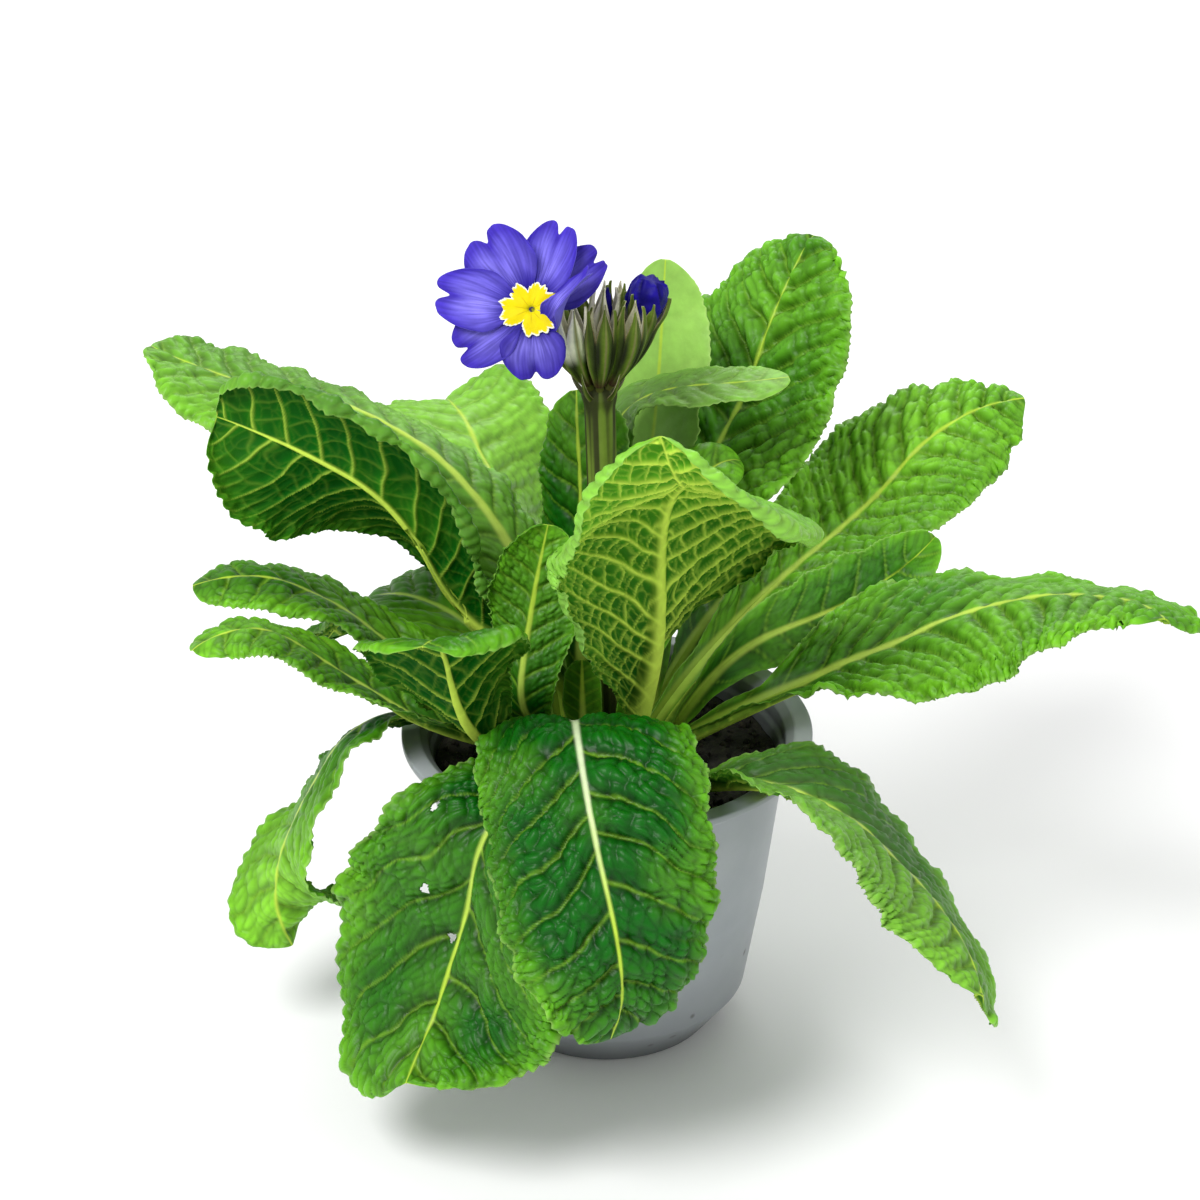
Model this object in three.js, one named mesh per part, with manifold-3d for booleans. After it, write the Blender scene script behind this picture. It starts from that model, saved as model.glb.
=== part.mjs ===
// Potted oxlip: a primula with one umbel of violet-blue flowers, growing in a round nursery pot.
// Millimetres, +Z up. The origin is the centre of the pot's base, and -Y is the front.

import * as THREE from "three";
import { mergeVertices } from "three/addons/utils/BufferGeometryUtils.js";
import Module from "manifold-3d";

const wasm = await Module();
wasm.setup();

// ---- driving dimensions ----
const GAP = 0.3; // clearance between pieces that touch
const POT_HEIGHT = 83;
const RIM_RADIUS = 52.5;
const RIM_THICKNESS = 2;
const RIM_WIDTH = 4.5; // across the flat ring of the rim
const BAND_RADIUS = 46.8; // the band between the step and the rim
const POT_WALL = 1.2;
const BASE_RADIUS = 28;
const BASE_THICKNESS = 1.5;
const POT_SIDES = 48;
const STEP_HEIGHT = 76; // the band under the rim stands a little proud of the wall below it
const DRAIN_HOLES = 6;
const DRAIN_RADIUS = 3;
const DRAIN_CIRCLE = 19;
const SOIL_TOP = 74;
const SOIL_CROWN_RADIUS = 32; // the soil rises by 1 mm inside this radius
const CROWN_RADIUS = 5.4;
const CROWN_TOP = 77;
const FOOT_HEIGHT = 76.8; // where every leaf stalk leaves the crown
const BLADE_THICKNESS = 1;
const STALK_HALF_WIDTH = 2.2;
const STALK_THICKNESS = 2.2;
const SCAPE_RADIUS = 3.9;
const SCAPE_TOP = 174;
const SCAPE_LEAN = -2; // the scape's top stands this far left of its foot
const UMBEL = new THREE.Vector3(SCAPE_LEAN, 0, SCAPE_TOP);
const CALYX_LENGTH = 20;
const CALYX_RADIUS = 3.4;
const PEDICEL_RADIUS = 0.65;
const CALYX_START = 7; // from the umbel's centre out to the foot of each calyx
const RING_CALYCES = 7;
const RING_TILT = 27;
const BRACTS = 5;
const FLOWER_CENTRE = new THREE.Vector3(-19, -9, 203.7);
const FLOWER_FACING = new THREE.Vector3(-0.25, -0.85, 0.46).normalize();
const FLOWER_RADIUS = 21;
const FLOWER_LOBES = 7;
const EYE_RADIUS = 7.5;

// ---- materials ----
const paint = (color, roughness, metalness = 0) =>
  new THREE.MeshStandardMaterial({ color, roughness, metalness });
const POT_GREY = 0x9aa4a8;
const SOIL_BROWN = 0x231d17;
const LEAF_GREEN = 0x40821d;
const YOUNG_LEAF_GREEN = 0x609826;
const STALK_GREEN = 0x7f9a52;
const CALYX_OLIVE = 0x4b5426;
const PETAL_BLUE = 0x5b4fd0;
const BUD_BLUE = 0x1d1689;
const EYE_YELLOW = 0xd9d11c;

const plant = new THREE.Group();

function add(name, geometry, material) {
  const mesh = new THREE.Mesh(geometry, material);
  mesh.name = name;
  plant.add(mesh);
  return mesh;
}

// ---- solids, for the pieces that are cut ----
function toSolid(geometry) {
  const plain = geometry.clone();
  plain.deleteAttribute("normal");
  plain.deleteAttribute("uv");
  const merged = mergeVertices(plain, 1e-4);
  return new wasm.Manifold(
    new wasm.Mesh({
      numProp: 3,
      vertProperties: new Float32Array(merged.attributes.position.array),
      triVerts: new Uint32Array(merged.index.array),
    }),
  );
}

function toGeometry(solid) {
  const mesh = solid.getMesh();
  const geometry = new THREE.BufferGeometry();
  geometry.setAttribute("position", new THREE.BufferAttribute(mesh.vertProperties, 3));
  geometry.setIndex(new THREE.BufferAttribute(mesh.triVerts, 1));
  geometry.computeVertexNormals();
  return geometry;
}

// A closed turned piece about +Z from [radius, height] points. The profile runs anticlockwise
// in the (radius, height) half plane, and closes on itself or on the axis.
function turned(profile, sides) {
  const points = profile.map(([radius, height]) => new THREE.Vector2(radius, height));
  const geometry = new THREE.LatheGeometry(points, sides);
  geometry.rotateX(Math.PI / 2);
  return geometry;
}

// ---- pot ----
// Radius of the outside of the pot's wall, from its base to the underside of the rim.
const WALL = [
  [BASE_RADIUS, 0],
  [36.3, 11],
  [41, 39],
  [44.3, 65],
  [45.6, STEP_HEIGHT],
];

function wallRadius(height) {
  const above = Math.max(1, WALL.findIndex(([, z]) => z >= height));
  const [r0, z0] = WALL[above - 1];
  const [r1, z1] = WALL[above];
  return r0 + ((r1 - r0) * (height - z0)) / (z1 - z0);
}

function makePot() {
  const underRim = POT_HEIGHT - RIM_THICKNESS;
  const outside = [
    ...WALL,
    [BAND_RADIUS, STEP_HEIGHT + 1],
    [BAND_RADIUS, underRim],
    [RIM_RADIUS, underRim],
    [RIM_RADIUS, POT_HEIGHT],
    [RIM_RADIUS - RIM_WIDTH, POT_HEIGHT],
  ];
  const inside = [
    [BAND_RADIUS - POT_WALL, underRim],
    [BAND_RADIUS - POT_WALL, STEP_HEIGHT + 1],
    ...WALL.slice(1).reverse().map(([radius, height]) => [radius - POT_WALL, height]),
    [BASE_RADIUS, BASE_THICKNESS],
    [0, BASE_THICKNESS],
  ];
  let pot = toSolid(turned([[0, 0], ...outside, ...inside], POT_SIDES));
  for (let i = 0; i < DRAIN_HOLES; i += 1) {
    const angle = (2 * Math.PI * i) / DRAIN_HOLES;
    const drill = new THREE.CylinderGeometry(DRAIN_RADIUS, DRAIN_RADIUS, 6, 12);
    drill.rotateX(Math.PI / 2);
    drill.translate(DRAIN_CIRCLE * Math.cos(angle), DRAIN_CIRCLE * Math.sin(angle), 0);
    pot = pot.subtract(toSolid(drill));
  }
  add("pot", toGeometry(pot), paint(POT_GREY, 0.45));
}

function makeSoil() {
  const clear = POT_WALL + GAP;
  const profile = [
    [0, BASE_THICKNESS + GAP],
    [BASE_RADIUS - GAP, BASE_THICKNESS + GAP],
    ...WALL.slice(1, -1).map(([radius, height]) => [radius - clear, height + GAP]),
    [wallRadius(SOIL_TOP) - clear, SOIL_TOP - 1.5],
    [SOIL_CROWN_RADIUS, SOIL_TOP],
    [0, SOIL_TOP + 1],
  ];
  add("soil", turned(profile, 36), paint(SOIL_BROWN, 1));
}

function makeCrown() {
  const profile = [
    [0, SOIL_TOP + 1 + GAP],
    [CROWN_RADIUS, SOIL_TOP + 1 + GAP],
    [CROWN_RADIUS, CROWN_TOP - 0.6],
    [CROWN_RADIUS - 1, CROWN_TOP],
    [0, CROWN_TOP],
  ];
  add("crown", turned(profile, 16), paint(STALK_GREEN, 0.7));
}

// ---- leaves ----
// Each leaf leaves its foot on a compass heading (0 is right, 90 back, 180 left, 270 front).
// The midrib's pitch above level, its turn away from the heading, the blade's roll about the
// midrib, the fold of its halves and their curl towards the margin are given at evenly spaced
// stations from foot to tip, in degrees.
const LEAVES = [
  { name: "leaf_front_hanging", foot: [-8, -12], heading: 281, length: 140, width: 60,
    pitch: [56, 40, -28, -62, -118], turn: [-14, -2, 36], roll: [-34, 18, 12],
    fold: [8, 6, 2], curl: [-10, -48, -6], stalk: 0.05, widest: 0.46 },
  { name: "leaf_front_left_hanging", foot: [-14, -15], heading: 236, length: 117, width: 76,
    pitch: [27, 19, -71, -56, -18], turn: [42, -14, 18], roll: [12, -5, 23],
    fold: [-4, 18, -8], curl: [-24, 0, -27], stalk: 0.15, widest: 0.72 },
  { name: "leaf_right_hanging", foot: [7, -8], heading: 306, length: 128, width: 66,
    pitch: [0, 20, -21, -24, -10], turn: [1, 27, -35], roll: [16, -22, -57],
    fold: [58, 7, -22], curl: [0, 0, 0], stalk: 0.2, widest: 0.6 },
  { name: "leaf_left_curled", foot: [-14, -9], heading: 234, length: 84, width: 44,
    pitch: [38, 33, 59, 69, 4], turn: [-10, 2, 21], roll: [-7, 35, 5],
    fold: [48, 39, 3], curl: [23, 9, -28], stalk: 0.15, widest: 0.8 },
  { name: "leaf_front_upright", foot: [2, -10], heading: 286, length: 141, width: 82,
    pitch: [65, 76, 84, 26, 69], turn: [27, 16, -49], roll: [42, -1, 17],
    fold: [39, -3, -12], curl: [16, -25, -40], stalk: 0.15, widest: 0.6 },
  { name: "leaf_front_small", foot: [-13.5, -3], heading: 236, length: 77, width: 24,
    pitch: [70, 42, 101, 105, 109], turn: [14, 0, -8], roll: [21, 9, 57],
    fold: [-19, 26, 2], curl: [-33, -17, -34], stalk: 0.12, widest: 0.7 },
  { name: "leaf_centre_left", foot: [-6, -8], heading: 265, length: 32, width: 11,
    pitch: [84, 84, 80, 86, 92], turn: [0, 0, 0], roll: [0, 0, 0],
    fold: [30, 20, 10], curl: [-20, -20, -20], stalk: 0.15, widest: 0.62 },
  { name: "leaf_centre_right", foot: [5, -6], heading: 300, length: 25, width: 9,
    pitch: [84, 84, 80, 86, 92], turn: [0, 0, 0], roll: [0, 0, 0],
    fold: [30, 20, 10], curl: [-20, -20, -20], stalk: 0.15, widest: 0.62 },
  { name: "leaf_left_low", foot: [-18.5, 0], heading: 195, length: 105, width: 30,
    pitch: [33, 26, 29, 33, -28], turn: [53, -24, 21], roll: [-27, 9, 7],
    fold: [58, 11, -10], curl: [50, 11, -15], stalk: 0.2, widest: 0.65 },
  { name: "leaf_left_hanging", foot: [-18.5, -6], heading: 203, length: 122, width: 46,
    pitch: [9, 26, -45, -75, -118], turn: [-65, 0, 5, -21, 31], roll: [13, 30, -78],
    fold: [-37, -4, -25], curl: [-34, -4, -29], stalk: 0.2, widest: 0.7 },
  { name: "leaf_left_mid", foot: [-16, 5], heading: 174, length: 103, width: 30,
    pitch: [31, 24, 45, 19, -19], turn: [-15, 5, 10], roll: [-100, 0, -5],
    fold: [35, 5, -5], curl: [30, 5, -20], stalk: 0.2, widest: 0.65 },
  { name: "leaf_right_far", foot: [11.5, -3.5], heading: 346, length: 156, width: 56,
    pitch: [37, 28, 26, 18, 12], turn: [2, 12, -67], roll: [32, 8, -14],
    fold: [58, -3, -6], curl: [50, -3, -32], stalk: 0.22, widest: 0.58 },
  { name: "leaf_right_mid", foot: [14, 2], heading: 11, length: 97, width: 22,
    pitch: [66, 48, 6, 14, 37], turn: [-30, 18, 22], roll: [123, 51, 32],
    fold: [58, 15, 28], curl: [0, 0, 0], stalk: 0.2, widest: 0.65 },
  { name: "leaf_left_big", foot: [-7.5, -2.5], heading: 176, length: 138, width: 54,
    pitch: [103, 32, 66, 34, 7], turn: [-26, 17, -20], roll: [11, 31, 117],
    fold: [58, 58, -11], curl: [50, -85, -36], stalk: 0.22, widest: 0.72 },
  { name: "leaf_right_high", foot: [8, 1.5], heading: 22, length: 146, width: 43,
    pitch: [50, 28, 18, 36, -5], turn: [15, 20, -5], roll: [80, 20, 25],
    fold: [25, 15, -15], curl: [-20, 15, -35], stalk: 0.2, widest: 0.68 },
  { name: "leaf_right_small", foot: [5, 6.3], heading: 43, length: 87, width: 20,
    pitch: [80, 67, 82, 53, -30], turn: [18, -15, 4], roll: [31, 28, 33],
    fold: [57, 14, 25], curl: [4, -41, -45], stalk: 0.2, widest: 0.65 },
  { name: "leaf_back_left_long", foot: [-11, 2.5], heading: 157, length: 168, width: 52,
    pitch: [84, 65, 31, 2, 20], turn: [-20, -5, 5], roll: [-55, -10, 5],
    fold: [40, -20, 10], curl: [0, -25, -10], stalk: 0.22, widest: 0.66 },
  { name: "leaf_back_left_light", foot: [-5.5, 11], heading: 114, length: 126, width: 58,
    pitch: [67, 52, 20, 13, -35], turn: [-5, 5, -15], roll: [-20, 30, -20],
    fold: [45, -25, 20], curl: [0, 0, 0], stalk: 0.2, widest: 0.6 },
  { name: "leaf_back_narrow", foot: [-6, 5.3], heading: 109, length: 93, width: 31,
    pitch: [75, 85, 88, 70, 50], turn: [-10, -15, -15], roll: [-20, -40, -35],
    fold: [20, -10, -10], curl: [0, 0, 0], stalk: 0.2, widest: 0.66 },
  { name: "leaf_back_right_bent", foot: [-1, 8.2], heading: 75, length: 131, width: 22,
    pitch: [78, 61, 84, 23, 3], turn: [10, 15, 0, -100, -65], roll: [-30, -5, 10],
    fold: [-55, 0, -5], curl: [0, 0, 0], stalk: 0.2, widest: 0.7 },
  { name: "leaf_back_pale", foot: [4, 12], heading: 74, length: 122, width: 32,
    pitch: [60, 73, 55, 78, 80], turn: [5, 0, 0], roll: [-15, -35, -5],
    fold: [10, 10, -15], curl: [0, 0, 0], stalk: 0.2, widest: 0.68 },
  { name: "leaf_back_right_big", foot: [10.5, 6.5], heading: 53, length: 141, width: 57,
    pitch: [57, 64, 33, 57, 46], turn: [30, 5, -10], roll: [-10, 0, -10],
    fold: [-25, 10, 5], curl: [-20, -15, -25], stalk: 0.2, widest: 0.68 },
  { name: "leaf_back_low_left", foot: [-11, 8.5], heading: 141, length: 102, width: 44,
    pitch: [30, 30, 5, -35, -60], turn: [-5, 0, 0], roll: [10, 0, 0],
    fold: [-20, 10, 0], curl: [-30, -15, -20], stalk: 0.2, widest: 0.66 },
  { name: "leaf_back_low_right", foot: [9.5, 12.2], heading: 52, length: 106, width: 44,
    pitch: [45, 30, 10, -30, -60], turn: [0, 0, 0], roll: [0, 0, 0],
    fold: [-30, 10, 0], curl: [-25, -15, -20], stalk: 0.2, widest: 0.66 },
  { name: "leaf_back_low_middle", foot: [-1.5, 15], heading: 98, length: 114, width: 50,
    pitch: [55, 20, -20, -55, -70], turn: [15, 0, 0], roll: [20, 0, 0],
    fold: [-30, 10, -5], curl: [-25, -15, -20], stalk: 0.2, widest: 0.66 },
];

const STEPS = 96; // steps along a midrib
const ROWS = 12; // rows of faces along a leaf solid
const COLUMNS = [-1, -0.5, 0, 0.5, 1]; // across a leaf solid, from the right margin to the left
const RADIANS = Math.PI / 180;

// The value at t, from 0 to 1, of a smooth curve through values at evenly spaced stations.
function smoothly(stations, t) {
  const last = stations.length - 1;
  const before = 2 * stations[0] - stations[1];
  const after = 2 * stations[last] - stations[last - 1];
  const padded = [before, ...stations, after];
  const i = Math.min(Math.floor(t * last), last - 1);
  const u = t * last - i;
  const [a, b, c, d] = padded.slice(i, i + 4);
  const slope = (c - a) * u;
  const bend = (2 * a - 5 * b + 4 * c - d) * u * u;
  const twist = (3 * b - a - 3 * c + d) * u * u * u;
  return 0.5 * (2 * b + slope + bend + twist);
}

// Half the leaf's width at t along it: a stalk, then a blade that is widest at `widest`.
function halfWidth(leaf, t) {
  const along = Math.max(0, (t - leaf.stalk) / (1 - leaf.stalk));
  const peak = (leaf.widest - leaf.stalk) / (1 - leaf.stalk);
  const rise = Math.sin((Math.PI / 2) * Math.min(along / peak, 1)) ** 1.3;
  const fall = (1 - Math.max(0, (along - peak) / (1 - peak)) ** 2.2) ** 0.6;
  const blade = along < peak ? rise : fall;
  const stalk = STALK_HALF_WIDTH * Math.sqrt(Math.min(1, (1 - t) / 0.12));
  return stalk + (leaf.width / 2 - STALK_HALF_WIDTH) * blade;
}

// The midrib's points, each with its across and upward directions, from foot to tip.
function midrib(leaf) {
  const frames = [];
  const point = new THREE.Vector3(...leaf.foot, FOOT_HEIGHT);
  let before = null;
  for (let i = 0; i <= STEPS; i += 1) {
    const t = i / STEPS;
    const pitch = smoothly(leaf.pitch, t) * RADIANS;
    const heading = (leaf.heading + smoothly(leaf.turn, t)) * RADIANS;
    const level = Math.cos(pitch);
    const along = new THREE.Vector3(
      level * Math.cos(heading),
      level * Math.sin(heading),
      Math.sin(pitch),
    );
    if (before) {
      point.addScaledVector(before.add(along), leaf.length / STEPS / 2);
    }
    before = along.clone();
    const lift = Math.sin(pitch);
    const up = new THREE.Vector3(-lift * Math.cos(heading), -lift * Math.sin(heading), level);
    const left = new THREE.Vector3().crossVectors(up, along);
    const roll = smoothly(leaf.roll, t) * RADIANS;
    up.applyAxisAngle(along, roll);
    left.applyAxisAngle(along, roll);
    frames.push({ t, point: point.clone(), left, up });
  }
  return frames;
}

// The point of the leaf's middle surface at `across`, from -1 on its right margin to 1 on its
// left one. Each half leaves the midrib at the fold angle and bends by the curl angle.
function bladePoint(leaf, frame, across) {
  const fold = smoothly(leaf.fold, frame.t) * RADIANS;
  const bend = smoothly(leaf.curl, frame.t) * RADIANS;
  const curl = Math.abs(bend) < 1e-4 ? 1e-4 : bend;
  const end = fold + curl * Math.abs(across);
  const width = halfWidth(leaf, frame.t);
  const aside = (width * Math.sign(across) * (Math.sin(end) - Math.sin(fold))) / curl;
  const raised = (width * (Math.cos(fold) - Math.cos(end))) / curl;
  return frame.point.clone().addScaledVector(frame.left, aside).addScaledVector(frame.up, raised);
}

function bladeNormal(leaf, frames, i, across) {
  const ahead = bladePoint(leaf, frames[Math.min(i + 1, STEPS)], across);
  const behind = bladePoint(leaf, frames[Math.max(i - 1, 0)], across);
  const right = bladePoint(leaf, frames[i], across - 0.05);
  const left = bladePoint(leaf, frames[i], across + 0.05);
  return ahead.sub(behind).cross(left.sub(right)).normalize();
}

// A leaf as one thin closed solid: an upper and a lower sheet joined round the margin.
function leafGeometry(leaf) {
  const frames = midrib(leaf);
  const upper = [];
  const lower = [];
  for (let row = 0; row <= ROWS; row += 1) {
    const i = Math.min(Math.round((row * STEPS) / ROWS), STEPS - 1);
    const stalkShare = Math.max(0, 1 - frames[i].t / 0.3);
    const thickness = BLADE_THICKNESS + (STALK_THICKNESS - BLADE_THICKNESS) * stalkShare;
    for (const across of COLUMNS) {
      const middle = bladePoint(leaf, frames[i], across);
      const normal = bladeNormal(leaf, frames, i, across);
      upper.push(middle.clone().addScaledVector(normal, thickness / 2));
      lower.push(middle.clone().addScaledVector(normal, -thickness / 2));
    }
  }
  return sheetPair(upper, lower, ROWS + 1, COLUMNS.length);
}

// A closed body from two matching grids of points: `lower` lies under `upper`.
function sheetPair(upper, lower, rows, columns) {
  const faces = [];
  const quad = (a, b, c, d) => faces.push(a, b, c, a, c, d);
  const under = rows * columns;
  for (let row = 0; row < rows - 1; row += 1) {
    for (let column = 0; column < columns - 1; column += 1) {
      const a = row * columns + column;
      const b = a + columns;
      quad(a, b, b + 1, a + 1);
      quad(under + a, under + a + 1, under + b + 1, under + b);
    }
  }
  const rim = [];
  for (let column = 0; column < columns; column += 1) rim.push(column);
  for (let row = 1; row < rows; row += 1) rim.push(row * columns + columns - 1);
  for (let column = columns - 2; column >= 0; column -= 1) rim.push((rows - 1) * columns + column);
  for (let row = rows - 2; row > 0; row -= 1) rim.push(row * columns);
  rim.forEach((a, i) => {
    const b = rim[(i + 1) % rim.length];
    quad(a, b, under + b, under + a);
  });
  const geometry = new THREE.BufferGeometry();
  const places = [...upper, ...lower].flatMap((point) => point.toArray());
  geometry.setAttribute("position", new THREE.Float32BufferAttribute(places, 3));
  geometry.setIndex(faces);
  geometry.computeVertexNormals();
  return geometry;
}

function makeLeaves() {
  for (const leaf of LEAVES) {
    const young = leaf.name.includes("back");
    const colour = young ? YOUNG_LEAF_GREEN : LEAF_GREEN;
    add(leaf.name, leafGeometry(leaf), paint(colour, 0.5));
  }
}

// ---- flower stem and umbel ----
// A round bar along a smooth curve through the given points.
function bar(points, radius, sides, steps) {
  const section = new THREE.Shape();
  for (let i = 0; i < sides; i += 1) {
    const angle = (2 * Math.PI * i) / sides;
    const corner = [radius * Math.cos(angle), radius * Math.sin(angle)];
    if (i === 0) section.moveTo(...corner);
    else section.lineTo(...corner);
  }
  section.closePath();
  const extrudePath = new THREE.CatmullRomCurve3(points);
  return new THREE.ExtrudeGeometry(section, { steps, extrudePath });
}

// Stands a piece made along +Z at a place, pointing along a direction.
function stand(mesh, place, direction) {
  mesh.position.copy(place);
  mesh.quaternion.setFromUnitVectors(new THREE.Vector3(0, 0, 1), direction);
}

// The direction at `tilt` degrees from upright, leaning towards a compass heading.
function leaning(heading, tilt) {
  const outward = Math.sin(tilt * RADIANS);
  return new THREE.Vector3(
    outward * Math.cos(heading * RADIANS),
    outward * Math.sin(heading * RADIANS),
    Math.cos(tilt * RADIANS),
  );
}

function makeScape() {
  const points = [
    new THREE.Vector3(0, 0, CROWN_TOP + GAP),
    new THREE.Vector3(SCAPE_LEAN * 0.2, 0, (CROWN_TOP + SCAPE_TOP) / 2),
    new THREE.Vector3(SCAPE_LEAN, 0, SCAPE_TOP),
  ];
  add("scape", bar(points, SCAPE_RADIUS, 14, 10), paint(STALK_GREEN, 0.6));
}

function makeBracts() {
  const length = 10;
  for (let i = 0; i < BRACTS; i += 1) {
    const heading = (360 * (i + 0.3)) / BRACTS;
    const cone = new THREE.ConeGeometry(1, length, 6);
    cone.rotateX(Math.PI / 2);
    cone.translate(0, 0, length / 2);
    const bract = add(`bract_${i + 1}`, cone, paint(CALYX_OLIVE, 0.6));
    const place = leaning(heading, 90).multiplyScalar(SCAPE_RADIUS + 1.6).add(UMBEL);
    place.z -= 1.5;
    stand(bract, place, leaning(heading, 35));
  }
}

// The calyces' directions from the umbel's centre: a leaning ring, then one upright in it.
function umbelDirections() {
  const directions = [];
  for (let i = 0; i < RING_CALYCES; i += 1) {
    directions.push(leaning(170 + (360 * i) / RING_CALYCES, RING_TILT));
  }
  directions.push(leaning(0, 0));
  return directions;
}

const OPEN_CALYX = 0; // its flower is open
const BUD_CALYX = 4; // a large bud stands in it
const UPRIGHT_CALYX = RING_CALYCES; // a small bud shows in it
const MOUTH = CALYX_RADIUS - 0.5;
const CUP_DEPTH = 12;

function calyxGeometry() {
  const wall = 0.4;
  const profile = [
    [0, 0],
    [1.2, 0.3],
    [1.8, 3],
    [2.6, 8],
    [CALYX_RADIUS - 0.1, 12],
    [CALYX_RADIUS, 15],
    [MOUTH, CALYX_LENGTH],
    [MOUTH - wall, CALYX_LENGTH],
    [CALYX_RADIUS - wall, 15],
    [2.3, CALYX_LENGTH - CUP_DEPTH + 1.5],
    [0, CALYX_LENGTH - CUP_DEPTH],
  ];
  return turned(profile, 10);
}

function makeUmbel() {
  umbelDirections().forEach((direction, i) => {
    const calyxFoot = direction.clone().multiplyScalar(CALYX_START).add(UMBEL);
    const calyx = add(`calyx_${i + 1}`, calyxGeometry(), paint(CALYX_OLIVE, 0.6));
    stand(calyx, calyxFoot, direction);

    const spread = i === UPRIGHT_CALYX ? 0 : 2.7;
    const level = direction.clone().setZ(0).normalize();
    const start = UMBEL.clone().addScaledVector(level, spread);
    start.z += 2 * GAP;
    const end = direction.clone().multiplyScalar(CALYX_START - GAP).add(UMBEL);
    const stalk = end.clone().sub(start);
    const rod = turned(
      [
        [0, 0],
        [PEDICEL_RADIUS, 0],
        [PEDICEL_RADIUS, stalk.length()],
        [0, stalk.length()],
      ],
      8,
    );
    const pedicel = add(`pedicel_${i + 1}`, rod, paint(STALK_GREEN, 0.6));
    stand(pedicel, start, stalk.normalize());
  });
}

function makeBud(name, calyxIndex, profile) {
  const direction = umbelDirections()[calyxIndex];
  const foot = CALYX_START + CALYX_LENGTH - CUP_DEPTH + GAP;
  const bud = add(name, turned(profile, 14), paint(BUD_BLUE, 0.5));
  stand(bud, direction.clone().multiplyScalar(foot).add(UMBEL), direction);
}

function makeBuds() {
  makeBud("bud_large", BUD_CALYX, [
    [0, 0.2],
    [0.9, 0.5],
    [1.7, 5],
    [2, CUP_DEPTH],
    [4.2, CUP_DEPTH + 3],
    [4.6, CUP_DEPTH + 6],
    [3.2, CUP_DEPTH + 8.5],
    [0, CUP_DEPTH + 9.3],
  ]);
  makeBud("bud_small", UPRIGHT_CALYX, [
    [0, 0.2],
    [0.9, 0.5],
    [1.5, 5],
    [1.6, CUP_DEPTH],
    [1.3, CUP_DEPTH + 2],
    [0, CUP_DEPTH + 4],
  ]);
}

// ---- open flower ----
// A round outline of petal lobes with a notch in each, about the origin.
function lobedOutline(radius, inward, notch) {
  const perLobe = 10;
  const outline = new THREE.Shape();
  for (let i = 0; i < FLOWER_LOBES * perLobe; i += 1) {
    const angle = (2 * Math.PI * i) / (FLOWER_LOBES * perLobe);
    const along = (2 * (i % perLobe)) / perLobe - 1; // -1 to 1 across one lobe
    const edge = 1 - inward * Math.abs(along) ** 3 - notch * Math.exp(-((along / 0.2) ** 2));
    const corner = [radius * edge * Math.cos(angle), radius * edge * Math.sin(angle)];
    if (i === 0) outline.moveTo(...corner);
    else outline.lineTo(...corner);
  }
  outline.closePath();
  return outline;
}

function makeFlower() {
  const faceThickness = 0.8;
  const eyeThickness = 0.3;
  const face = new THREE.ExtrudeGeometry(lobedOutline(FLOWER_RADIUS, 0.3, 0.07), {
    depth: faceThickness,
    bevelEnabled: false,
  });
  stand(add("flower_face", face, paint(PETAL_BLUE, 0.6)), FLOWER_CENTRE, FLOWER_FACING);

  const eye = new THREE.ExtrudeGeometry(lobedOutline(EYE_RADIUS, 0.3, 0.15), {
    depth: eyeThickness,
    bevelEnabled: false,
  });
  const eyePlace = FLOWER_CENTRE.clone().addScaledVector(FLOWER_FACING, faceThickness + GAP);
  stand(add("flower_eye", eye, paint(EYE_YELLOW, 0.6)), eyePlace, FLOWER_FACING);

  const stigma = turned(
    [
      [0, 0],
      [0.8, 0],
      [0.8, 0.5],
      [0, 0.9],
    ],
    10,
  );
  const stigmaPlace = eyePlace.clone().addScaledVector(FLOWER_FACING, eyeThickness + GAP);
  stand(add("flower_stigma", stigma, paint(YOUNG_LEAF_GREEN, 0.6)), stigmaPlace, FLOWER_FACING);

  const mouth = umbelDirections()[OPEN_CALYX].multiplyScalar(CALYX_START + CALYX_LENGTH).add(UMBEL);
  const inside = umbelDirections()[OPEN_CALYX].multiplyScalar(CALYX_START + 20).add(UMBEL);
  const throat = FLOWER_CENTRE.clone().addScaledVector(FLOWER_FACING, -GAP);
  const behind = FLOWER_CENTRE.clone().addScaledVector(FLOWER_FACING, -6);
  add("flower_tube", bar([inside, mouth, behind, throat], 1.1, 10, 8), paint(EYE_YELLOW, 0.6));
}

makePot();
makeSoil();
makeCrown();
makeLeaves();
makeScape();
makeBracts();
makeUmbel();
makeBuds();
makeFlower();

export default plant;
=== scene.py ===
"""A potted oxlip: crinkled primula leaves, one umbel with an open violet-blue flower and buds, in a
grey nursery pot. Lengths are millimetres until a mesh is made, which is in metres. +Z is up, and the
front is towards -Y."""
import math

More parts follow.
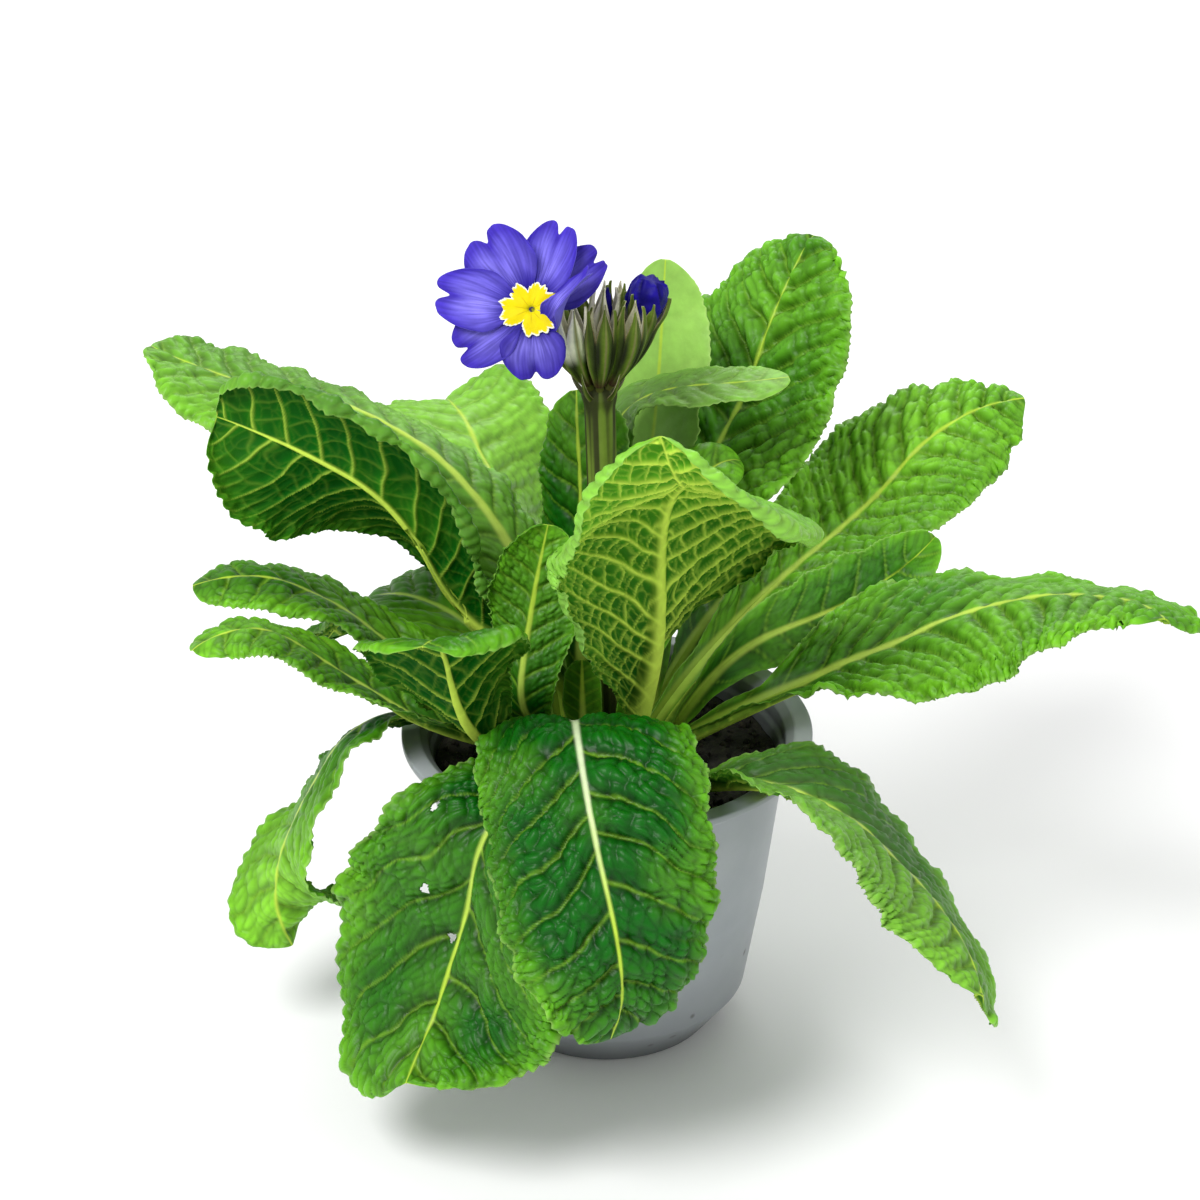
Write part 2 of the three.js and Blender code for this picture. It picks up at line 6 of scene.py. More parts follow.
import bpy
import numpy as np
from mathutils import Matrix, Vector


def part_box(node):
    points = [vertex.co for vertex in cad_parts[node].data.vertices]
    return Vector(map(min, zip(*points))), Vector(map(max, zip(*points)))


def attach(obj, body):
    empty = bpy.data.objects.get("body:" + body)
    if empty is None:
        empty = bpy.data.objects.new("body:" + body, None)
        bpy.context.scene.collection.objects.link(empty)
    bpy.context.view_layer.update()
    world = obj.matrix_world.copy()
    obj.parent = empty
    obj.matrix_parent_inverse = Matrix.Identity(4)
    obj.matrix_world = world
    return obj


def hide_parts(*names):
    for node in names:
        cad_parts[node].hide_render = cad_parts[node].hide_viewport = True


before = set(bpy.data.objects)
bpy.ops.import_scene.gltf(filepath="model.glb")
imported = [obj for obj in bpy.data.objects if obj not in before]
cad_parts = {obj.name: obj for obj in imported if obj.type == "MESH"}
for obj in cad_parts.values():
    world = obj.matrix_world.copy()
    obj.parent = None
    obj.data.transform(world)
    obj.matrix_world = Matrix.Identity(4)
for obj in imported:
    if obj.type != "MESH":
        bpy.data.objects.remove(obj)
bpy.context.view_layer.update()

MM = 0.001


# ---- numbers that vary smoothly ----
def smoothstep(low, high, value):
    share = np.clip((value - low) / (high - low), 0.0, 1.0)
    return share * share * (3.0 - 2.0 * share)


def smoothly(stations, t):
    """The values at t, from 0 to 1, of a smooth curve through values at evenly spaced stations."""
    stations = np.asarray(stations, dtype=float)
    first = 2 * stations[0] - stations[1]
    after = 2 * stations[-1] - stations[-2]
    padded = np.array([first, *stations, after])
    spans = len(stations) - 1
    t = np.asarray(t, dtype=float)
    i = np.minimum((t * spans).astype(int), spans - 1)
    u = (t * spans - i).reshape(t.shape + (1,) * (stations.ndim - 1))
    a, b, c, d = padded[i], padded[i + 1], padded[i + 2], padded[i + 3]
    slope = (c - a) * u
    bend = (2 * a - 5 * b + 4 * c - d) * u**2
    twist = (3 * b - a - 3 * c + d) * u**3
    return 0.5 * (2 * b + slope + bend + twist)


def between(t, stations, points):
    """The points at t on the straight lines that join points at the stations."""
    return np.stack([np.interp(t, stations, column) for column in points.T], -1)


TABLE = 64  # the random tables repeat after this many cells


def value_noise(x, y, seed):
    """Smooth noise from -1 to 1 with features one unit across."""
    table = np.random.RandomState(seed).uniform(-1, 1, (TABLE, TABLE))
    x0 = np.floor(x).astype(int)
    y0 = np.floor(y).astype(int)
    fx = x - x0
    fy = y - y0
    fx = fx * fx * (3 - 2 * fx)
    fy = fy * fy * (3 - 2 * fy)
    x0, x1, y0, y1 = x0 % TABLE, (x0 + 1) % TABLE, y0 % TABLE, (y0 + 1) % TABLE
    low = table[x0, y0] * (1 - fx) + table[x1, y0] * fx
    high = table[x0, y1] * (1 - fx) + table[x1, y1] * fx
    return low * (1 - fy) + high * fy


def bell(value, width):
    """1 where the value is 0, falling to 0 a few widths away."""
    return np.exp(-((value / width) ** 2))


def to_whole(value):
    """How far the value is from the nearest whole number."""
    return np.abs(value - np.round(value))


def dome(share):
    """A rise from 0 at 0 that is flat from 1 on."""
    return 1 - (1 - np.clip(share, 0, 1)) ** 2


def cell_borders(x, y, seed):
    """Distance to the nearest border of a net of irregular cells one unit across."""
    random = np.random.RandomState(seed)
    jitter_x = random.uniform(0.12, 0.88, (TABLE, TABLE))
    jitter_y = random.uniform(0.12, 0.88, (TABLE, TABLE))
    cx = np.floor(x).astype(int)
    cy = np.floor(y).astype(int)
    nearest = np.full(x.shape, 9.0)
    second = np.full(x.shape, 9.0)
    for dx in (-1, 0, 1):
        for dy in (-1, 0, 1):
            ix, iy = (cx + dx) % TABLE, (cy + dy) % TABLE
            away = np.hypot(cx + dx + jitter_x[ix, iy] - x, cy + dy + jitter_y[ix, iy] - y)
            second = np.minimum(second, np.maximum(nearest, away))
            nearest = np.minimum(nearest, away)
    return (second - nearest) / 2


def colour(red, green, blue):
    """Linear colour from the usual 0 to 255 screen values."""
    share = np.array([red, green, blue]) / 255.0
    return np.where(share <= 0.04045, share / 12.92, ((share + 0.055) / 1.055) ** 2.4)


def blend(base, other, amount):
    amount = np.asarray(amount)[..., None]
    return base * (1 - amount) + other * amount


# ---- meshes ----
def fill(items, key, values, kind=np.float32):
    """Sets one property of all a mesh's points, corners or faces at once."""
    items.foreach_set(key, np.asarray(values, dtype=kind).reshape(-1))


class Shape:
    """Collects the points, faces, tints and bake places of one piece, in millimetres."""

    def __init__(self):
        self.points, self.tints, self.faces, self.slots, self.places = [], [], [], [], []
        self.count = 0

    def add_points(self, points, tints):
        start = self.count
        points = np.asarray(points, dtype=float)
        self.points.append(points.reshape(-1, 3))
        self.tints.append(np.broadcast_to(tints, points.shape).reshape(-1, 3))
        self.count += points.size // 3
        return start

    def add_faces(self, faces, slot=0, places=None):
        self.faces.append(faces)
        self.slots.append(np.full(len(faces), slot))
        if places is not None:
            self.places.append(places[faces].reshape(-1, 2))

    def sheet(self, top, under, top_tint, under_tint, kept=None, slots=(0, 0), places=None):
        """A thin closed body from two matching grids of points. kept says which cells stay, and
        places where the top is baked: the underside is baked half an image to the right."""
        rows, columns = top.shape[:2]
        count = rows * columns
        start = self.add_points(top, top_tint)
        self.add_points(under, under_tint)
        if kept is None:
            kept = np.ones((rows - 1, columns - 1), dtype=bool)
        index = np.arange(count).reshape(rows, columns)
        quads = np.stack([index[:-1, :-1], index[1:, :-1], index[1:, 1:], index[:-1, 1:]], -1)
        upper = quads[kept]
        walls = []
        edge = np.pad(kept, 1)
        beside = (edge[1:-1, :-2], edge[2:, 1:-1], edge[1:-1, 2:], edge[:-2, 1:-1])
        for corner, away in enumerate(beside):
            one, other = quads[..., corner], quads[..., (corner + 1) % 4]
            wall = np.stack([other, one, one + count, other + count], -1)
            walls.append(wall[kept & ~away])
        walls = np.concatenate(walls)
        spots = None
        if places is not None:
            spots = np.vstack([np.zeros((start, 2)), places, places + [0.5, 0]])
        self.add_faces(upper + start, slots[0], spots)
        self.add_faces(upper[:, ::-1] + count + start, slots[1], spots)
        self.add_faces(walls + start, slots[0], spots)

    def tube(self, rings, tints):
        """A closed body from rings of points, with its two ends filled in."""
        rows, columns = rings.shape[:2]
        start = self.add_points(rings, tints)
        index = start + np.arange(rows * columns).reshape(rows, columns)
        following = np.roll(index, -1, 1)
        quads = np.stack([index[:-1], following[:-1], following[1:], index[1:]], -1)
        self.add_faces(quads.reshape(-1, 4))
        shades = np.broadcast_to(tints, rings.shape)
        for row, flip in ((0, True), (-1, False)):
            middle = self.add_points(rings[row].mean(0), shades[row].mean(0))
            fan = np.stack([index[row], following[row], np.full(columns, middle)], -1)
            self.add_faces(fan[:, ::-1] if flip else fan)

    def skin(self, points, thickness, front, back):
        """A sheet that has its middle surface at a grid of points."""
        half = thickness / 2 * grid_normals(points)[0]
        self.sheet(points + half, points - half, front, back)

    def piece(self, name, *materials):
        """The Blender object, with only the points that a face uses."""
        corners = [part.reshape(-1) for part in self.faces]
        used, corners = np.unique(np.concatenate(corners), return_inverse=True)
        sizes = np.concatenate([np.full(len(part), part.shape[1]) for part in self.faces])
        mesh = bpy.data.meshes.new(name)
        mesh.vertices.add(len(used))
        mesh.loops.add(len(corners))
        mesh.polygons.add(len(sizes))
        fill(mesh.vertices, "co", np.concatenate(self.points)[used] * MM)
        fill(mesh.loops, "vertex_index", corners, np.int32)
        fill(mesh.polygons, "loop_start", np.cumsum(sizes) - sizes, np.int32)
        for material in materials:
            mesh.materials.append(material)
        fill(mesh.polygons, "material_index", np.concatenate(self.slots), np.int32)
        fill(mesh.polygons, "use_smooth", np.ones(len(sizes)), bool)
        layer = mesh.color_attributes.new("tint", "FLOAT_COLOR", "POINT")
        tints = np.clip(np.concatenate(self.tints)[used], 0, 1)
        fill(layer.data, "color", np.hstack([tints, np.ones((len(used), 1))]))
        if self.places:
            layer = mesh.uv_layers.new(name="OFBake")
            fill(layer.data, "uv", np.concatenate(self.places))
        mesh.update()
        mesh.validate()
        piece = bpy.data.objects.new(name, mesh)
        bpy.context.scene.collection.objects.link(piece)
        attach(piece, "root")
        return piece


def unit(vector):
    vector = np.asarray(vector, dtype=float)
    return vector / np.maximum(np.linalg.norm(vector, axis=-1, keepdims=True), 1e-9)


def grid_normals(points):
    """The direction out of a grid of points, and the direction across it."""
    along = np.gradient(points, axis=0)
    across = np.gradient(points, axis=1)
    return unit(np.cross(along, across)), unit(across)


def frame_along(direction):
    """Two directions across the given one, the first as level as possible."""
    direction = unit(direction)
    upright = abs(direction[2]) > 0.999
    side = np.array([1.0, 0, 0]) if upright else unit(np.cross([0, 0, 1], direction))
    return side, np.cross(direction, side)


def pointing(heading, pitch):
    """The direction to a compass heading, at a pitch above level, with both in degrees."""
    heading, pitch = np.radians(heading), np.radians(pitch)
    level = np.cos(pitch)
    return np.stack([level * np.cos(heading), level * np.sin(heading), np.sin(pitch)], -1)


def turns(count):
    """Evenly spaced angles once around."""
    return np.linspace(0, 2 * np.pi, count, endpoint=False)


def towards(angle, one, other):
    """The direction at an angle from `one` towards `other`, for each angle."""
    angle = np.asarray(angle)[..., None]
    return np.cos(angle) * one + np.sin(angle) * other


def box_of(node):
    """A node's lowest and highest corners in millimetres."""
    low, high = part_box(node)
    return np.array(low) / MM, np.array(high) / MM


# ---- materials ----
def feed(tree, node, inputs):
    """Gives each input of a node, by its name or place, a value or the output of another node."""
    for key, value in inputs.items():
        if isinstance(value, bpy.types.NodeSocket):
            tree.links.new(value, node.inputs[key])
        else:
            node.inputs[key].default_value = value


def new_material(name, roughness, specular=0.5):
    material = bpy.data.materials.new(name)
    material.use_nodes = True
    shader = material.node_tree.nodes["Principled BSDF"]
    shader.inputs["Roughness"].default_value = roughness
    shader.inputs["Specular IOR Level"].default_value = specular
    return material, material.node_tree, shader


def place_in_piece(tree):
    return tree.nodes.new("ShaderNodeTexCoord").outputs["Object"]


def piece_tint(tree):
    attribute = tree.nodes.new("ShaderNodeAttribute")
    attribute.attribute_name = "tint"
    return attribute.outputs["Color"]


def noise(tree, grain, detail=2):
    """Soft noise from 0 to 1 with `grain` features per metre."""
    texture = tree.nodes.new("ShaderNodeTexNoise")
    feed(tree, texture, {"Vector": place_in_piece(tree), "Scale": grain, "Detail": detail})
    return texture.outputs["Fac"]


def remapped(tree, value, low, high, at_low=0, at_high=1):
    """The value turned into at_low where it is low, at_high where it is high, and evenly between."""
    node = tree.nodes.new("ShaderNodeMapRange")
    ends = {"From Min": low, "From Max": high, "To Min": at_low, "To Max": at_high}
    feed(tree, node, {"Value": value, **ends})
    return node.outputs["Result"]


def add_bump(tree, shader, height, strength, depth):
    """A fine relief on the surface, with its depth in millimetres."""
    bump = tree.nodes.new("ShaderNodeBump")
    feed(tree, bump, {"Height": height, "Strength": strength, "Distance": depth * MM})
    feed(tree, shader, {"Normal": bump.outputs["Normal"]})


def tinted_material(name, roughness, specular, mottle, grain, bump, bump_grain):
    """A material that takes its colour from the piece's tints, with a fine mottle and bump.
    mottle is how much the brightness varies, and the grains are features per metre."""
    material, tree, shader = new_material(name, roughness, specular)
    brightness = remapped(tree, noise(tree, grain, 4), 0.3, 0.7, 1 - mottle, 1 + mottle)
    scaled = tree.nodes.new("ShaderNodeVectorMath")
    scaled.operation = "SCALE"
    feed(tree, scaled, {0: piece_tint(tree), "Scale": brightness})
    feed(tree, shader, {"Base Color": scaled.outputs["Vector"]})
    add_bump(tree, shader, noise(tree, bump_grain, 3), bump, 0.4)
    return material


# roughness, specular, mottle and its grain, bump and its grain
LEAF_TOP = tinted_material("leaf_top", 0.4, 0.2, 0.1, 260, 0.1, 1500)
LEAF_UNDER = tinted_material("leaf_under", 0.65, 0.08, 0.08, 300, 0.2, 1400)
STALK = tinted_material("stalk", 0.55, 0.15, 0.08, 300, 0.2, 1200)
CALYX = tinted_material("calyx", 0.6, 0.2, 0.14, 500, 0.4, 1600)
PETAL = tinted_material("petal", 0.6, 0.15, 0.06, 400, 0.25, 1800)
BUD = tinted_material("bud", 0.5, 0.12, 0.12, 500, 0.2, 1500)
SOIL = tinted_material("soil", 0.95, 0.5, 0.45, 700, 1.0, 1100)

# ---- leaves ----
# Each leaf leaves its foot on a compass heading (0 is right, 90 back, 180 left, 270 front).
# pitch is the midrib's angle above level and turn its angle away from the heading. roll turns
# the blade about the midrib, fold lifts its halves and curl bends them towards the margin. All
# are in degrees, at evenly spaced stations from foot to tip. The right and left margins turn
# by `rolled` more, from the share roll_from of the way to the margin.
# stalk and widest: where the stalk ends and the blade is widest, as shares of the length
# blunt: how round the tip is, from 0, square, to 1, pointed
# tone: from 0, deep green, to 1, pale young green, with tip added to it near the tip and faded
#   a pale haze over all; the half shade, painted light on one half of the blade and painted shade
#   on the other, is added in the left half and taken off in the right
# strip and cream: how pale the margin and how white the midrib is, from 0 to 1
# puff, ruffle and frill: how high the crinkles, the waves and the ripples of the margin are
# ragged: how deep the margin's scallops are, with the teeth on top of them
# holes: the place sideways and along, the radius and the stretch sideways of each hole
# spacing, rib and bold: from side vein to side vein, their width and their strength below
# cell, cells and net: the size and height of the crinkles between the veins, and how clear the
#   net of fine veins below is, which is 0.5 + tone where it isn't given
# grid: how fine the mesh is. flipped: the top lies on the other face of the blade.
USUAL_LEAF = dict(
    curl=[0, 0, 0], stalk=0.2, widest=0.66, blunt=0.44, rolled=[-20, -20], roll_from=0.83,
    tip=0.0, lean=0.0, faded=0.0, strip=0.0, cream=0.1,
    puff=0.8, ruffle=1.0, frill=0.35, ragged=1.1, holes=[],
    spacing=9.5, rib=1.0, bold=0.65, cell=3.5, cells=0.6, grid="middle", flipped=False,
)
CENTRE_LEAF = dict(
    stalk=0.15, widest=0.62, pitch=[84, 84, 80, 86, 92], turn=[0, 0, 0], roll=[0, 0, 0],
    fold=[30, 20, 10], curl=[-20, -20, -20], rolled=[-60, -60],
    puff=0.7, grid="tiny", flipped=True,
)
LEAVES = {
    "front_hanging": dict(
        foot=[-8, -12], heading=281, length=140, width=60, stalk=0.05, widest=0.46,
        pitch=[56, 40, -28, -62, -118], turn=[-14, -2, 36], roll=[-34, 18, 12],
        fold=[8, 6, 2], curl=[-10, -48, -6], rolled=[-25, -25],
        tone=0.06, cream=1.0, puff=1.4, ruffle=0.8, spacing=12.5, cells=0.8, grid="near",
    ),
    "front_left_hanging": dict(
        foot=[-14, -15], heading=236, length=117, width=76, stalk=0.15, widest=0.72,
        pitch=[27, 19, -71, -56, -18], turn=[42, -14, 18], roll=[12, -5, 23],
        fold=[-4, 18, -8], curl=[-24, 0, -27],
        tone=0.14, tip=0.02, puff=1.15, ruffle=1.4, ragged=2.4,
        holes=[[-12, 69, 1.5, 1.7], [-15, 50, 0.6, 1.3], [-2.5, 79, 0.5, 0.4]],
        spacing=15, cells=0.8, grid="near",
    ),
    "right_hanging": dict(
        foot=[7, -8], heading=306, length=128, width=66, widest=0.6,
        pitch=[0, 20, -21, -24, -10], turn=[1, 27, -35], roll=[16, -22, -57],
        fold=[58, 7, -22], rolled=[-30, -20],
        tone=0.12, tip=0.3, lean=-0.28, faded=0.12, puff=1.1,
    ),
    "left_curled": dict(
        foot=[-14, -9], heading=234, length=84, width=44, stalk=0.15, widest=0.8,
        pitch=[38, 33, 59, 69, 4], turn=[-10, 2, 21], roll=[-7, 35, 5],
        fold=[48, 39, 3], curl=[23, 9, -28], rolled=[-60, -100],
        tone=0.0, puff=0.5, bold=0.6, net=0.6,
    ),
    "front_upright": dict(
        foot=[2, -10], heading=286, length=141, width=82, stalk=0.15, widest=0.6,
        pitch=[65, 76, 84, 26, 69], turn=[27, 16, -49], roll=[42, -1, 17],
        fold=[39, -3, -12], curl=[16, -25, -40], rolled=[-80, -130],
        tone=0.3, tip=0.45, strip=0.25, puff=0.7, ruffle=0.7,
        spacing=8, rib=1.8, bold=1.0, net=1.9, grid="near",
    ),
    "front_small": dict(
        foot=[-13.5, -3], heading=236, length=77, width=24, stalk=0.12, widest=0.7, blunt=0.35,
        pitch=[70, 42, 101, 105, 109], turn=[14, 0, -8], roll=[21, 9, 57],
        fold=[-19, 26, 2], curl=[-33, -17, -34], rolled=[-60, -60],
        tone=0.04, tip=0.22, puff=0.7, ruffle=0.6, spacing=5.5, cell=2.4, cells=0.9, flipped=True,
    ),
    "centre_left": dict(
        CENTRE_LEAF, foot=[-6, -8], heading=265, length=32, width=11, tone=0.3,
    ),
    "centre_right": dict(
        CENTRE_LEAF, foot=[5, -6], heading=300, length=25, width=9, tone=0.35,
    ),
    "left_low": dict(
        foot=[-18.5, 0], heading=195, length=105, width=30, widest=0.65,
        pitch=[33, 26, 29, 33, -28], turn=[53, -24, 21], roll=[-27, 9, 7],
        fold=[58, 11, -10], curl=[50, 11, -15], rolled=[-50, -50],
        tone=0.4, puff=0.9, ruffle=0.9,
    ),
    "left_hanging": dict(
        foot=[-18.5, -6], heading=203, length=122, width=46, widest=0.7,
        pitch=[9, 26, -45, -75, -118], turn=[-65, 0, 5, -21, 31], roll=[13, 30, -78],
        fold=[-37, -4, -25], curl=[-34, -4, -29],
        tone=0.05, tip=0.8, ruffle=1.1,
    ),
    "left_mid": dict(
        foot=[-16, 5], heading=174, length=103, width=30, widest=0.65,
        pitch=[31, 24, 45, 19, -19], turn=[-15, 5, 10], roll=[-100, 0, -5],
        fold=[35, 5, -5], curl=[30, 5, -20], rolled=[-50, -50],
        tone=0.3, puff=0.9, ruffle=0.8,
    ),
    "right_far": dict(
        foot=[11.5, -3.5], heading=346, length=156, width=56, stalk=0.22, widest=0.58,
        pitch=[37, 28, 26, 18, 12], turn=[2, 12, -67], roll=[32, 8, -14],
        fold=[58, -3, -6], curl=[50, -3, -32], rolled=[-40, -20],
        tone=0.4, puff=1.4, ruffle=1.2, cell=4.2, cells=0.8,
    ),
    "right_mid": dict(
        foot=[14, 2], heading=11, length=97, width=22, widest=0.65,
        pitch=[66, 48, 6, 14, 37], turn=[-30, 18, 22], roll=[123, 51, 32],
        fold=[58, 15, 28],
        tone=0.2, grid="far",
    ),
    "left_big": dict(
        foot=[-7.5, -2.5], heading=176, length=138, width=54, stalk=0.22, widest=0.72,
        pitch=[103, 32, 66, 34, 7], turn=[-26, 17, -20], roll=[11, 31, 117],
        fold=[58, 58, -11], curl=[50, -85, -36], rolled=[-30, -150], roll_from=0.78,
        tone=0.03, strip=0.12, puff=0.5, frill=0.34, spacing=9, bold=0.5, net=0.45, grid="near",
    ),
    "right_high": dict(
        foot=[8, 1.5], heading=22, length=146, width=43, widest=0.68,
        pitch=[50, 28, 18, 36, -5], turn=[15, 20, -5], roll=[80, 20, 25],
        fold=[25, 15, -15], curl=[-20, 15, -35],
        tone=0.65, puff=1.4, ruffle=1.1, spacing=8.5, cell=4.3, cells=0.8,
    ),
    "right_small": dict(
        foot=[5, 6.3], heading=43, length=87, width=20, widest=0.65,
        pitch=[80, 67, 82, 53, -30], turn=[18, -15, 4], roll=[31, 28, 33],
        fold=[57, 14, 25], curl=[4, -41, -45], rolled=[-30, -30],
        tone=0.45, puff=0.9, ruffle=0.6, grid="far",
    ),
    "back_left_long": dict(
        foot=[-11, 2.5], heading=157, length=168, width=52, stalk=0.22,
        pitch=[84, 65, 31, 2, 20], turn=[-20, -5, 5], roll=[-55, -10, 5],
        fold=[40, -20, 10], curl=[0, -25, -10], rolled=[-30, -30],
        tone=0.45, faded=0.1, puff=0.9,
    ),
    "back_left_light": dict(
        foot=[-5.5, 11], heading=114, length=126, width=58, widest=0.6,
        pitch=[67, 52, 20, 13, -35], turn=[-5, 5, -15], roll=[-20, 30, -20],
        fold=[45, -25, 20],
        tone=0.75, faded=0.17, puff=0.7,
    ),
    "back_narrow": dict(
        foot=[-6, 5.3], heading=109, length=93, width=31,
        pitch=[75, 85, 88, 70, 50], turn=[-10, -15, -15], roll=[-20, -40, -35],
        fold=[20, -10, -10],
        tone=0.15, ruffle=0.8, grid="far",
    ),
    "back_right_bent": dict(
        foot=[-1, 8.2], heading=75, length=131, width=22, widest=0.7,
        pitch=[78, 61, 84, 23, 3], turn=[10, 15, 0, -100, -65], roll=[-30, -5, 10],
        fold=[-55, 0, -5],
        tone=0.3, faded=0.28, puff=0.9, ruffle=0.5, rib=0.6, grid="far",
    ),
    "back_pale": dict(
        foot=[4, 12], heading=74, length=122, width=32, widest=0.68, blunt=0.6,
        pitch=[60, 73, 55, 78, 80], turn=[5, 0, 0], roll=[-15, -35, -5],
        fold=[10, 10, -15], rolled=[-10, -10],
        tone=1.0, faded=0.6, puff=0.15, ruffle=0.3, spacing=14, grid="far",
    ),
    "back_right_big": dict(
        foot=[10.5, 6.5], heading=53, length=141, width=57, widest=0.68,
        pitch=[57, 64, 33, 57, 46], turn=[30, 5, -10], roll=[-10, 0, -10],
        fold=[-25, 10, 5], curl=[-20, -15, -25], rolled=[-30, -30],
        tone=0.35, puff=1.5, ruffle=0.9, spacing=8.5, cell=4.4, cells=0.8,
    ),
    "back_low_left": dict(
        foot=[-11, 8.5], heading=141, length=102, width=44,
        pitch=[30, 30, 5, -35, -60], turn=[-5, 0, 0], roll=[10, 0, 0],
        fold=[-20, 10, 0], curl=[-30, -15, -20], rolled=[-30, -30],
        tone=0.35, grid="far",
    ),
    "back_low_right": dict(
        foot=[9.5, 12.2], heading=52, length=106, width=44,
        pitch=[45, 30, 10, -30, -60], turn=[0, 0, 0], roll=[0, 0, 0],
        fold=[-30, 10, 0], curl=[-25, -15, -20], rolled=[-30, -30],
        tone=0.35, grid="far",
    ),
    "back_low_middle": dict(
        foot=[-1.5, 15], heading=98, length=114, width=50,
        pitch=[55, 20, -20, -55, -70], turn=[15, 0, 0], roll=[20, 0, 0],
        fold=[-30, 10, -5], curl=[-25, -15, -20], rolled=[-30, -30],
        tone=0.3, grid="far",
    ),
}

FOOT_HEIGHT = 76.8
STALK_HALF_WIDTH = 2.2
STALK_WING = 1.6  # how much wider a stalk is on each side above its foot
VEIN_SLANT = 0.58  # how far a side vein runs forward for each millimetre sideways
TOOTH = 1.9  # from one tooth of the margin to the next
FIRST_SEED = 100
SEED_STEP = 17  # more than the seeds that one leaf draws from

TOP_DEEP = colour(6, 82, 6)
TOP_PALE = colour(124, 190, 46)
TOP_EDGE = colour(108, 180, 28)
TOP_RIM = colour(168, 208, 110)
TOP_VEIN = colour(146, 202, 54)
MIDRIB_GREEN = colour(184, 214, 66)
MIDRIB_CREAM = colour(214, 228, 184)
UNDER_DEEP = colour(2, 86, 6)
UNDER_PALE = colour(88, 170, 28)
UNDER_VEIN = colour(210, 238, 88)
STALK_PALE = colour(150, 184, 60)


def half_width(leaf, t):
    """Half the leaf's width at t along it."""
    along = np.clip((t - leaf["stalk"]) / (1 - leaf["stalk"]), 0, 1)
    peak = (leaf["widest"] - leaf["stalk"]) / (1 - leaf["stalk"])
    rise = np.sin(np.pi / 2 * np.minimum(along / peak, 1)) ** 1.3
    fall = (1 - np.clip((along - peak) / (1 - peak), 0, 1) ** 2.2) ** leaf["blunt"]
    blade = np.where(along < peak, rise, fall)
    stalk = STALK_HALF_WIDTH * np.sqrt(np.clip((1 - t) / 0.12, 0, 1))
    wing = smoothstep(0.05, 0.16, t) * (1 - smoothstep(0.05, 0.3, t - leaf["stalk"]))
    return stalk + STALK_WING * wing + (leaf["width"] / 2 - STALK_HALF_WIDTH) * blade


def leaf_midrib(leaf, t):
    """The midrib's points at t, with the directions to its left and up from it."""
    fine = np.linspace(0, 1, 481)
    pitch = smoothly(leaf["pitch"], fine)
    heading = leaf["heading"] + smoothly(leaf["turn"], fine)
    along = pointing(heading, pitch)
    steps = (along[1:] + along[:-1]) / 2 * leaf["length"] / (len(fine) - 1)
    points = np.array([*leaf["foot"], FOOT_HEIGHT]) + np.vstack([np.zeros(3), np.cumsum(steps, 0)])
    up = pointing(heading, pitch + 90)
    left = np.cross(up, along)
    roll = np.radians(smoothly(leaf["roll"], fine))
    rolled_left = unit(between(t, fine, towards(roll, left, up)))
    rolled_up = unit(between(t, fine, towards(roll, up, -left)))
    return between(t, fine, points), rolled_left, rolled_up


def leaf_sheet(leaf, t, across):
    """The leaf's middle surface: a grid of points at t along it and `across` from -1 to 1."""
    spine, left, up = leaf_midrib(leaf, t)
    width = half_width(leaf, t)[:, None]
    fold = np.radians(smoothly(leaf["fold"], t))[:, None]
    curl = np.radians(smoothly(leaf["curl"], t))[:, None]
    middle = len(across) // 2
    aside = np.zeros((len(t), len(across)))
    raised = np.zeros_like(aside)
    for side, extra in ((-1, leaf["rolled"][0]), (1, leaf["rolled"][1])):
        share = np.abs(across[middle::side])
        centre = (share[1:] + share[:-1]) / 2
        away_from_foot = smoothstep(leaf["stalk"] + 0.1, leaf["stalk"] + 0.3, t)[:, None]
        start = leaf["roll_from"]
        rolled = math.radians(extra) * away_from_foot * smoothstep(start, start + 0.15, centre)
        angle = fold + curl * centre + rolled
        step = np.diff(share) * width
        aside[:, middle + side :: side] = side * np.cumsum(np.cos(angle) * step, 1)
        raised[:, middle + side :: side] = np.cumsum(np.sin(angle) * step, 1)
    return spine[:, None] + aside[..., None] * left[:, None] + raised[..., None] * up[:, None]


